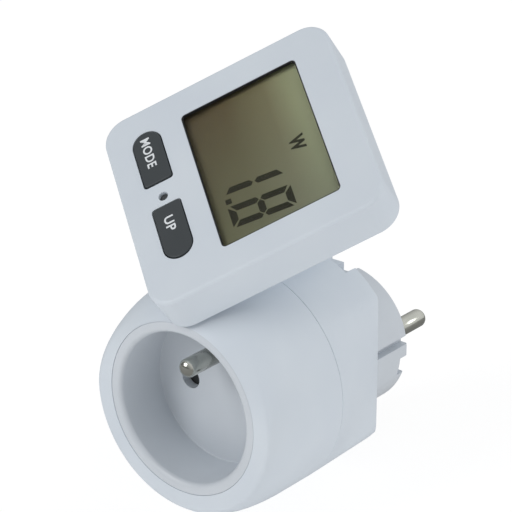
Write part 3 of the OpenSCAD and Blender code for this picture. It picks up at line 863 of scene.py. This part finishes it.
def post(radius, low, high, x=0.0, y=0.0, steps=64, place=None):
    """A round bar square to the face."""
    mesh = bmesh.new()
    bmesh.ops.create_cone(
        mesh, cap_ends=True, segments=steps, radius1=radius, radius2=radius, depth=high - low
    )
    bmesh.ops.translate(mesh, verts=mesh.verts, vec=(x, y, (low + high) / 2))
    return in_head(mesh, place)


def turret(inset):
    """The turret's form: a rounded oblong foot drawn up to the round seat below the head."""
    mesh = bmesh.new()
    bmesh.ops.create_grid(mesh, x_segments=1, y_segments=1, size=0.5)
    size = (2 * (foot_half - inset), foot_rear - foot_front - 2 * inset, 1)
    bmesh.ops.scale(mesh, verts=mesh.verts, vec=size)
    rounded(mesh, mesh.verts[:], 4 * mm, 10, "VERTICES")
    foot_middle = (0, outlet_y + (foot_front + foot_rear) / 2, outlet_z + 26 * mm)
    bmesh.ops.translate(mesh, verts=mesh.verts, vec=foot_middle)
    for level in (neck_top - mm, neck_top):
        seat = bmesh.ops.create_circle(
            mesh, cap_ends=False, segments=96, radius=neck_r - inset
        )
        on_top = upright_place @ Matrix.Translation((0, 0, level))
        bmesh.ops.transform(mesh, matrix=on_top, verts=seat["verts"])
    bmesh.ops.convex_hull(mesh, input=mesh.verts[:])
    bmesh.ops.dissolve_limit(
        mesh, angle_limit=0.002, verts=mesh.verts[:], edges=mesh.edges[:]
    )
    bmesh.ops.recalc_face_normals(mesh, faces=mesh.faces)
    return mesh


neck = as_piece(
    "neck_turret", turret(0), "housing", housing_white, ["neck"]
)
hollow = turret(shell_wall)
above_ledge = upright_place @ Vector((0, 0, ledge_bottom))
sliced = bmesh.ops.bisect_plane(
    hollow,
    geom=hollow.verts[:] + hollow.edges[:] + hollow.faces[:],
    plane_co=above_ledge,
    plane_no=face_out,
    clear_outer=True,
)
bmesh.ops.holes_fill(
    hollow, edges=[g for g in sliced["geom_cut"] if isinstance(g, bmesh.types.BMEdge)]
)
cut(neck, hollow)
tongue_half = 11.4 * mm
lip = (outlet_y + notch_y + play, outlet_z + notch_floor + play)
cut(
    neck,
    block(
        (-tongue_half, lip[0], lip[1]),
        (tongue_half, outlet_y + rear_end - 0.2 * mm, outlet_z + 25.05 * mm),
    ),
    "UNION",
)
cut(
    neck,
    block(
        (-foot_half, lip[0], outlet_z + 23.7 * mm),
        (foot_half, outlet_y + foot_rear, outlet_z + 31 * mm),
    ),
    "UNION",
)
bore = {"place": upright_place}
cut(neck, post(journal_r + play, ledge_bottom - 2 * mm, neck_top + 2 * mm, **bore))
cut(neck, post(journal_r + 3 * mm, ledge_bottom - 3.6 * mm, ledge_bottom, **bore))
cut(neck, rod(barrel_r + play, outlet_y, outlet_y + front_end + 0.5 * mm, z=outlet_z, steps=144))
cut(neck, barrel_rear(-play, front_end, notch_y))
stop_r = 12.2 * mm
slot_half = 1.4 * mm
slot_floor = neck_top - 1.7 * mm
mesh = bmesh.new()
bmesh.ops.create_grid(mesh, x_segments=1, y_segments=1, size=0.5)
bmesh.ops.rotate(
    mesh, verts=mesh.verts, cent=(0, 0, 0), matrix=Matrix.Rotation(math.pi / 2, 3, "X")
)
bmesh.ops.scale(mesh, verts=mesh.verts, vec=(2 * slot_half, 1, 3.4 * mm))
bmesh.ops.translate(mesh, verts=mesh.verts, vec=(stop_r, 0, slot_floor + 1.7 * mm))
spare = 0.12
bmesh.ops.rotate(
    mesh, verts=mesh.verts, cent=(0, 0, 0), matrix=Matrix.Rotation(-spare, 3, "Z")
)
bmesh.ops.spin(
    mesh,
    geom=mesh.verts[:] + mesh.edges[:] + mesh.faces[:],
    cent=(0, 0, 0),
    axis=(0, 0, 1),
    dvec=(0, 0, 0),
    angle=math.pi + 2 * spare,
    steps=48,
)
bmesh.ops.remove_doubles(mesh, verts=mesh.verts, dist=1e-7)
bmesh.ops.recalc_face_normals(mesh, faces=mesh.faces)
cut(neck, in_head(mesh, upright_place))
crisp(neck)

# Head cover: the square front moulding of the display head, with openings for the window, two
# long keys and the reset pin. Four screws from behind hold its back cover.
bezel_low, bezel_high = head_span("head_bezel")
head_width = bezel_high.x - bezel_low.x
head_height = bezel_high.y - bezel_low.y
head_side = -bezel_low.z
head_corner = 6.5 * mm
face_thickness = 2 * mm
side_wall = 1.8 * mm
window_low, window_high = head_span("display_window")
window_mid = (window_low.y + window_high.y) / 2
window_width = window_high.x - window_low.x - 2 * mm
window_height = window_high.y - window_low.y - 2 * mm
window_corner = 1.2 * mm


def plate(width, height, top, bottom, corner, x=0.0, y=0.0, rim=0.0, steps=10):
    """A plate with rounded corners on the head's axes; rim rounds its front edge."""
    mesh = bmesh.new()
    bmesh.ops.create_grid(mesh, x_segments=1, y_segments=1, size=0.5)
    bmesh.ops.scale(mesh, verts=mesh.verts, vec=(width, height, 1))
    rounded(mesh, mesh.verts[:], corner, steps, "VERTICES")
    return thickened(mesh, top, bottom, x, y, rim)


def thickened(mesh, top, bottom, x, y, rim):
    """Gives a flat outline its thickness, and a rounded front edge if rim is set."""
    bmesh.ops.translate(mesh, verts=mesh.verts, vec=(x, y, top))
    front = mesh.faces[:]
    grown = bmesh.ops.extrude_face_region(mesh, geom=front, use_keep_orig=True)
    behind = new_verts(grown)
    bmesh.ops.translate(mesh, verts=behind, vec=(0, 0, bottom - top))
    bmesh.ops.recalc_face_normals(mesh, faces=mesh.faces)
    if rim:
        rounded(mesh, [e for f in front for e in f.edges], rim, 5)
    return mesh


mode_low, mode_high = head_span("mode_button")
up_low, up_high = head_span("up_button")
reset_low, reset_high = head_span("reset_button")
key_row = (mode_low.y + mode_high.y) / 2
key_length = 16.5 * mm
key_height = 7.5 * mm
mode_x = (mode_low.x + mode_high.x) / 2
up_x = (up_low.x + up_high.x) / 2
reset_x = (reset_low.x + reset_high.x) / 2
reset_r = 1.25 * mm


def key_form(length, height, side, top, bottom, x, rim=0.0):
    """A key's outline: a full round at the outer end, small corners at the inner end."""
    mesh = bmesh.new()
    bmesh.ops.create_grid(mesh, x_segments=1, y_segments=1, size=0.5)
    bmesh.ops.scale(mesh, verts=mesh.verts, vec=(length, height, 1))
    for outer_end, radius, steps in ((True, height * 0.498, 20), (False, 0.9 * mm, 5)):
        end = side if outer_end else -side
        ends = [v for v in mesh.verts if v.co.x * end > length * 0.499]
        rounded(mesh, ends, radius, steps, "VERTICES")
    return thickened(mesh, top, bottom, x, key_row, rim)


head_cover = as_piece(
    "head_front_cover",
    in_head(
        plate(head_width, head_height, 0, -head_side, head_corner, rim=0.9 * mm, steps=14)
    ),
    "head",
    housing_white,
    ["head_bezel"],
)
inner_width = head_width - 2 * side_wall
inner_height = head_height - 2 * side_wall
inner_corner = head_corner - side_wall
cut(
    head_cover,
    in_head(
        plate(inner_width, inner_height, -face_thickness, -2 * head_side, inner_corner)
    ),
)
boss_x = 24.6 * mm
boss_y = 26.1 * mm
for x, y in corners:
    at = {"x": x * boss_x, "y": y * boss_y}
    cut(head_cover, post(2.6 * mm, 1.85 * mm - head_side, -1 * mm, **at), "UNION")
    cut(head_cover, post(1.15 * mm, -head_side, -1.6 * mm, **at))
cut(
    head_cover,
    in_head(plate(window_width, window_height, mm, -3 * mm, window_corner, y=window_mid)),
)
ledge = 1.2 * mm
cut(
    head_cover,
    in_head(
        plate(
            window_width + 2 * ledge,
            window_height + 2 * ledge,
            -0.7 * mm,
            -3 * mm,
            1.8 * mm,
            y=window_mid,
        )
    ),
)
gap = 0.25 * mm
for side, x in ((-1, mode_x), (1, up_x)):
    hole = (key_length + 2 * gap, key_height + 2 * gap)
    cut(head_cover, in_head(key_form(*hole, side, mm, -3 * mm, x)))
cut(head_cover, post(reset_r, -3 * mm, mm, x=reset_x, y=key_row))
soften(head_cover, 0.18 * mm, 3, 50)

# Window: a clear acrylic pane cemented behind the cover, with a black border printed round
# it that also stands in for the shadow of the gap at the opening's edge, and a thin black lining
# in the opening that is painted shade on its walls.
clear_acrylic = bpy.data.materials.new("clear_acrylic")
clear_acrylic.use_nodes = True
nodes, links = clear_acrylic.node_tree.nodes, clear_acrylic.node_tree.links
shader = nodes["Principled BSDF"]
shader.inputs["Transmission Weight"].default_value = 1.0
shader.inputs["IOR"].default_value = 1.18
shader.inputs["Base Color"].default_value = (0.97, 0.98, 0.97, 1)
place = nodes.new("ShaderNodeTexCoord")
wipe = nodes.new("ShaderNodeTexNoise")
wipe.inputs["Scale"].default_value = 120.0
haze = nodes.new("ShaderNodeMapRange")
haze.inputs["To Min"].default_value = 0.01
haze.inputs["To Max"].default_value = 0.05
links.new(place.outputs["Object"], wipe.inputs["Vector"])
links.new(wipe.outputs["Fac"], haze.inputs["Value"])
links.new(haze.outputs["Result"], shader.inputs["Roughness"])
pane = as_piece(
    "window_pane",
    in_head(
        plate(
            window_high.x - window_low.x,
            window_high.y - window_low.y,
            window_high.z,
            window_low.z,
            1.7 * mm,
            y=window_mid,
        )
    ),
    "head",
    clear_acrylic,
    ["display_window"],
)
pane.data.shade_flat()
window_print_and_shade_black = plastic("window_print_and_shade_black", (0.010, 0.010, 0.011), (0.014, 0.014, 0.014), 0.6)


def frame_ring(name, outer, inner, top, bottom, corner, material):
    """A flat frame round the window."""
    ring = as_piece(
        name,
        in_head(plate(*outer, top, bottom, corner, y=window_mid)),
        "head",
        material,
    )
    cut(ring, in_head(plate(*inner, mm, bottom - mm, window_corner * 0.8, y=window_mid)))
    ring.data.shade_flat()
    return ring


glass_low, glass_high = head_span("lcd_glass")
# A black ring just inside the opening, partly print and partly a painted shadow of the gap at the
# opening's edge.
frame_ring(
    "window_border",
    (window_width + 1.0 * mm, window_height + 1.0 * mm),
    (window_width - 0.7 * mm, window_height - 0.7 * mm),
    window_high.z + 0.03 * mm,
    window_high.z + 0.005 * mm,
    window_corner,
    window_print_and_shade_black,
)
# Painted shade: a black lining on the opening's walls, which lie in shadow in the recess.
frame_ring(
    "window_wall_painted_shade",
    (window_width - 0.02 * mm, window_height - 0.02 * mm),
    (window_width - 0.55 * mm, window_height - 0.55 * mm),
    -0.12 * mm,
    window_high.z + 0.04 * mm,
    window_corner,
    window_print_and_shade_black,
)

# Display: the reflective liquid-crystal glass. Its ground is a dull olive that falls off to brown
# towards the lower left, with a painted sheen in its colour that makes it much lighter and greener
# towards the top, most at the top left; the dark segments lie in a thin layer on it.
display_ground = bpy.data.materials.new("display_ground")
display_ground.use_nodes = True
nodes, links = display_ground.node_tree.nodes, display_ground.node_tree.links
shader = nodes["Principled BSDF"]
shader.inputs["Specular IOR Level"].default_value = 0.1


def along_face(nodes, links, direction, low, high):
    """A 0 to 1 share along one of the face's axes, between two distances from its centre."""
    place = nodes.new("ShaderNodeTexCoord")
    dot = nodes.new("ShaderNodeVectorMath")
    dot.operation = "DOT_PRODUCT"
    dot.inputs[1].default_value = direction
    share = nodes.new("ShaderNodeMapRange")
    start = Vector(swivel["pos_m"]).dot(direction)
    share.inputs["From Min"].default_value = start + low
    share.inputs["From Max"].default_value = start + high
    links.new(place.outputs["Object"], dot.inputs[0])
    links.new(dot.outputs["Value"], share.inputs["Value"])
    return share.outputs["Result"]


# Painted sheen: the ground's colour grows lighter and greener towards the top of the window, most
# at the top left.
painted_sheen_rise = along_face(nodes, links, face_y, window_mid - 15.5 * mm, window_mid + 15.5 * mm)
across = along_face(nodes, links, face_x, -21 * mm, 21 * mm)
left_olive_sheen_ramp = nodes.new("ShaderNodeValToRGB")
right_olive_sheen_ramp = nodes.new("ShaderNodeValToRGB")
ramps = (
    (
        left_olive_sheen_ramp,
        (0.122, 0.094, 0.052),
        (0.152, 0.118, 0.062),
        (0.250, 0.222, 0.122),
        (0.500, 0.530, 0.320),
    ),
    (
        right_olive_sheen_ramp,
        (0.190, 0.186, 0.110),
        (0.215, 0.216, 0.134),
        (0.265, 0.268, 0.182),
        (0.350, 0.372, 0.250),
    ),
)
for ramp, bottom, lower, upper, top in ramps:
    band = ramp.color_ramp
    band.elements[0].color = (*bottom, 1)
    band.elements[1].color = (*top, 1)
    band.elements.new(0.33).color = (*lower, 1)
    band.elements.new(0.68).color = (*upper, 1)
    links.new(painted_sheen_rise, ramp.inputs["Fac"])
blend = nodes.new("ShaderNodeMix")
blend.data_type = "RGBA"
links.new(across, blend.inputs["Factor"])
links.new(left_olive_sheen_ramp.outputs["Color"], blend.inputs["A"])
links.new(right_olive_sheen_ramp.outputs["Color"], blend.inputs["B"])
links.new(blend.outputs["Result"], shader.inputs["Base Color"])
fine = nodes.new("ShaderNodeTexNoise")
fine.inputs["Scale"].default_value = 900.0
sheen = nodes.new("ShaderNodeMapRange")
sheen.inputs["To Min"].default_value = 0.35
sheen.inputs["To Max"].default_value = 0.5
place = nodes.new("ShaderNodeTexCoord")
links.new(place.outputs["Object"], fine.inputs["Vector"])
links.new(fine.outputs["Fac"], sheen.inputs["Value"])
links.new(sheen.outputs["Result"], shader.inputs["Roughness"])
cell = as_piece(
    "display_cell",
    in_head(
        plate(
            glass_high.x - glass_low.x,
            glass_high.y - glass_low.y,
            glass_high.z,
            glass_low.z,
            0.6 * mm,
            y=(glass_low.y + glass_high.y) / 2,
            rim=0.12 * mm,
        )
    ),
    "head",
    display_ground,
    ["lcd_glass"],
)
cell.data.shade_flat()

# Segments: "1.8" in leaning seven-segment figures with a W above, 16.3 mm high, etched in the
# cell as thin dark shapes with a hair gap between neighbours.
segment_dark = plastic(
    "segment_dark", (0.036, 0.034, 0.020), (0.030, 0.029, 0.018), 0.45, gloss=0.1
)
digit_height = 16.3 * mm
digit_mid = 1.5 * mm
digit_top = digit_mid + digit_height / 2
digit_foot = digit_mid - digit_height / 2
digit_pitch = 10.5 * mm
lean = math.tan(math.radians(7.2))
bar_width = 1.8 * mm
half_bar = bar_width / 2
digit_half = 2.4 * mm
hair = 0.22 * mm
digits = bmesh.new()


def shape(outline):
    """Adds one flat dark shape, leaning with the figures."""
    verts = [digits.verts.new((x + (y - digit_mid) * lean, y, 0)) for x, y in outline]
    digits.faces.new(verts)


def across_bar(x, y):
    """The middle bar of a figure, pointed at both ends."""
    reach = digit_half - hair
    shape(
        [
            (x - reach, y),
            (x - reach + half_bar, y + half_bar),
            (x + reach - half_bar, y + half_bar),
            (x + reach, y),
            (x + reach - half_bar, y - half_bar),
            (x - reach + half_bar, y - half_bar),
        ]
    )


def end_bar(x, edge, inward):
    """The top or bottom bar, wide at the figure's edge and narrower inside."""
    wide = digit_half + half_bar - hair * 1.5
    narrow = digit_half - half_bar - hair * 1.5
    shape(
        [
            (x - wide, edge),
            (x + wide, edge),
            (x + narrow, edge + inward * bar_width),
            (x - narrow, edge + inward * bar_width),
        ][::inward]
    )


def side_bar(x, outward, edge, inward):
    """An upright bar from near the figure's edge to near its middle."""
    inner = x - outward * half_bar
    outer = x + outward * half_bar
    tip = digit_mid - inward * hair * 0.6
    shape(
        [
            (outer, edge + inward * (hair + 0.5 * mm)),
            (inner, edge + inward * (bar_width + hair)),
            (inner, tip - inward * (half_bar + hair * 0.4)),
            (x, tip - inward * hair * 0.4),
            (outer, tip - inward * half_bar * 0.8),
        ]
    )


eight_x = 14.1 * mm
one_x = eight_x - digit_pitch
end_bar(eight_x, digit_top, -1)
end_bar(eight_x, digit_foot, 1)
across_bar(eight_x, digit_mid)
for outward in (-1, 1):
    side_bar(eight_x + outward * digit_half, outward, digit_top, -1)
    side_bar(eight_x + outward * digit_half, outward, digit_foot, 1)
side_bar(one_x + digit_half, 1, digit_top, -1)
side_bar(one_x + digit_half, 1, digit_foot, 1)
point_x = 8.3 * mm + lean * 7 * mm
point_half = 0.75 * mm
shape(
    [
        (point_x - point_half, digit_foot),
        (point_x + point_half, digit_foot),
        (point_x + point_half, digit_foot + 2 * point_half),
        (point_x - point_half, digit_foot + 2 * point_half),
    ]
)
segment_thick = 0.04 * mm
grown = bmesh.ops.extrude_face_region(digits, geom=digits.faces[:], use_keep_orig=True)
bmesh.ops.translate(
    digits,
    verts=new_verts(grown),
    vec=(0, 0, segment_thick),
)
bmesh.ops.translate(
    digits, verts=digits.verts, vec=(0, 0, glass_high.z + 0.01 * mm)
)
bmesh.ops.recalc_face_normals(digits, faces=digits.faces)
figures = as_piece("display_figures", in_head(digits), "head", segment_dark)


def lettering(name, words, height, middle, z, weight, body, material, width=None):
    """Flat letters as a thin raised print, centred at a point of the face."""
    text = bpy.data.curves.new(name, "FONT")
    text.body = words
    text.size = 1
    text.offset = weight
    text.align_x = "CENTER"
    text.space_character = 1.08
    text.resolution_u = 4
    source = bpy.data.objects.new(name, text)
    bpy.context.scene.collection.objects.link(source)
    view = bpy.context.evaluated_depsgraph_get()
    flat = bpy.data.meshes.new_from_object(source.evaluated_get(view), depsgraph=view)
    bpy.data.objects.remove(source, do_unlink=True)
    mesh = bmesh.new()
    mesh.from_mesh(flat)
    bpy.data.meshes.remove(flat)
    bmesh.ops.remove_doubles(mesh, verts=mesh.verts, dist=1e-5)
    low = [min(v.co[k] for v in mesh.verts) for k in range(2)]
    high = [max(v.co[k] for v in mesh.verts) for k in range(2)]
    grown = bmesh.ops.extrude_face_region(mesh, geom=mesh.faces[:], use_keep_orig=True)
    scale = height / (high[1] - low[1])
    stretch = (width / (high[0] - low[0])) if width else scale
    bmesh.ops.translate(
        mesh,
        verts=mesh.verts,
        vec=(-(low[0] + high[0]) / 2, -(low[1] + high[1]) / 2, 0),
    )
    bmesh.ops.scale(mesh, verts=mesh.verts, vec=(stretch, scale, 1))
    bmesh.ops.translate(
        mesh,
        verts=new_verts(grown),
        vec=(0, 0, 0.03 * mm),
    )
    bmesh.ops.translate(mesh, verts=mesh.verts, vec=(*middle, z))
    bmesh.ops.recalc_face_normals(mesh, faces=mesh.faces)
    if mesh.calc_volume(signed=True) < 0:
        bmesh.ops.reverse_faces(mesh, faces=mesh.faces)
    piece = as_piece(name, in_head(mesh), body, material)
    piece.data.shade_flat()
    return piece


lettering(
    "watts_sign",
    "W",
    3.9 * mm,
    (1.3 * mm, 14.6 * mm),
    glass_high.z + 0.01 * mm,
    0.045,
    "head",
    segment_dark,
    4.65 * mm,
)
figures.data.shade_flat()

# Keys: two dark grey nylon caps, nearly flush, with white printed words and a flange behind the
# cover that keeps them in. Each rests on its switch's plunger. The reset pin is sunk in its hole.
key_grey = plastic(
    "key_grey_nylon", (0.040, 0.048, 0.053), (0.032, 0.039, 0.044), 0.42, 4200.0, 0.35
)
print_white = plastic("key_print", (0.80, 0.83, 0.85), (0.74, 0.77, 0.80), 0.5)
keys = (
    ("mode", "MODE", -1, mode_x, mode_high.z, (-15.5 * mm, 9.4 * mm)),
    ("up", "UP", 1, up_x, up_high.z, (7.85 * mm, 4.5 * mm)),
)
for name, word, side, x, top, (word_x, word_width) in keys:
    low = head_span(name + "_button")[0].z
    cap = as_piece(
        name + "_key_cap",
        in_head(
            key_form(
                key_length, key_height, side, top, -face_thickness - 0.3 * mm, x, 0.35 * mm
            )
        ),
        name + "_key",
        key_grey,
        [name + "_button"],
    )
    flange = 0.7 * mm
    cut(
        cap,
        in_head(
            key_form(
                key_length + 2 * flange,
                key_height + 2 * flange,
                side,
                -face_thickness - 0.1 * mm,
                -face_thickness - 0.7 * mm,
                x,
            )
        ),
        "UNION",
    )
    cut(cap, post(1.6 * mm, low, -face_thickness, x=x, y=key_row), "UNION")
    soften(cap, 0.1 * mm, 2, 50)
    lettering(
        name + "_key_word",
        word,
        2.5 * mm,
        (word_x, key_row - 0.25 * mm),
        top,
        0.018,
        name + "_key",
        print_white,
        word_width,
    )
reset_pin = as_piece(
    "reset_pin",
    post(reset_r - 0.15 * mm, reset_low.z, reset_high.z, x=reset_x, y=key_row),
    "reset_key",
    plastic("reset_black", (0.045, 0.050, 0.052), (0.036, 0.04, 0.042), 0.5),
    ["reset_button"],
)
cut(
    reset_pin,
    post(reset_r + 0.6 * mm, -2.7 * mm, -2.1 * mm, x=reset_x, y=key_row),
    "UNION",
)
soften(reset_pin, 0.15 * mm)

# Behind the face: the frame that holds the display, its two rubber contact strips, the display
# board with chip, connector, coin cell and clip, and the red-brown plungers of the switches.
frame_white = plastic("frame_white_pc", (0.66, 0.66, 0.62), (0.6, 0.6, 0.57), 0.5)
finish(frame_white, "lcd_frame")
finish(
    plastic("zebra_rubber", (0.24, 0.18, 0.21), (0.10, 0.08, 0.09), 0.6, 8000.0, 0.6),
    "zebra_strips",
)
finish(
    plastic("connector_nylon", (0.70, 0.68, 0.60), (0.64, 0.62, 0.54), 0.5),
    "cable_connector",
)
finish(
    metal("cell_steel", (0.62, 0.63, 0.64), (0.52, 0.53, 0.54), 0.2),
    "backup_battery",
    "battery_clip",
)
finish(
    plastic("plunger_brown", (0.26, 0.08, 0.06), (0.22, 0.065, 0.05), 0.45),
    "mode_plunger",
    "up_plunger",
    "reset_plunger",
)

# Head back: the shallow dished rear cover with a flat pad and the hollow journal that turns in
# the neck. A lug beside it runs in the neck's half-turn slot and stops the head at both ends.
back_low = head_span("head_back")[0]
back_thick = 1.8 * mm
pad_level = neck_top + 0.5 * mm
pad = (36 * mm, 39 * mm)
dish = (50 * mm, 53 * mm)


def dished(size, small, top, bottom, corner):
    """A rounded plate drawn in to a smaller rounded pad behind it."""
    mesh = plate(*size, top, bottom, corner, steps=12)
    rear = [v for v in mesh.verts if v.co.z < (top + bottom) / 2]
    share = (small[0] / size[0], small[1] / size[1], 1)
    bmesh.ops.scale(mesh, verts=rear, vec=share)
    return mesh


head_rear = as_piece(
    "head_rear_cover",
    in_head(
        plate(
            head_width - 3.8 * mm,
            head_height - 3.8 * mm,
            back_thick - head_side,
            -head_side,
            head_corner - 1.9 * mm,
        )
    ),
    "head",
    housing_white,
    ["head_back"],
)
cut(
    head_rear,
    in_head(dished(dish, pad, 0.3 * mm - head_side, pad_level, 7 * mm)),
    "UNION",
)
wall_in = 4 * mm
cut(
    head_rear,
    in_head(
        dished(
            (dish[0] - wall_in, dish[1] - wall_in),
            (pad[0] - 3 * mm, pad[1] - 3 * mm),
            0.5 * mm - head_side,
            pad_level + 1.8 * mm,
            5.5 * mm,
        )
    ),
)
cut(
    head_rear,
    in_head(
        plate(dish[0] - wall_in, dish[1] - wall_in, 0, 0.3 * mm - head_side, 2 * mm)
    ),
)
ring_low, ring_high = head_span("retaining_ring")
cut(head_rear, post(journal_r, back_low.z, pad_level + mm), "UNION")
cut(head_rear, post(4.5 * mm, back_low.z - mm, -5 * mm))
groove = bmesh.new()
inner_r = journal_r - 1.2 * mm
for r, z in (
    (inner_r, ring_low.z - play),
    (journal_r + mm, ring_low.z - play),
    (journal_r + mm, ring_high.z + play),
    (inner_r, ring_high.z + play),
):
    groove.verts.new((r, 0, z))
groove.faces.new(groove.verts)
bmesh.ops.spin(
    groove,
    geom=groove.edges[:] + groove.verts[:],
    cent=(0, 0, 0),
    axis=(0, 0, 1),
    dvec=(0, 0, 0),
    angle=2 * math.pi,
    steps=64,
    use_merge=True,
)
bmesh.ops.delete(
    groove, geom=[f for f in groove.faces if abs(f.normal.y) > 0.999], context="FACES_ONLY"
)
bmesh.ops.remove_doubles(groove, verts=groove.verts, dist=1e-7)
bmesh.ops.recalc_face_normals(groove, faces=groove.faces)
cut(head_rear, in_head(groove))
lug_half = 1.2 * mm
mesh = block(
    (-lug_half, stop_r - 0.9 * mm, neck_top - 1.4 * mm),
    (lug_half, stop_r + 0.9 * mm, pad_level + 0.1 * mm),
)
cut(head_rear, in_head(mesh), "UNION")
for x, y in corners:
    at = {"x": x * boss_x, "y": y * boss_y}
    cut(head_rear, post(1.2 * mm, -head_side - mm, -8 * mm, **at))
    cut(head_rear, post(2.5 * mm, -head_side - mm, 1.3 * mm - head_side, **at))
soften(head_rear, 0.5 * mm, 3, 20)
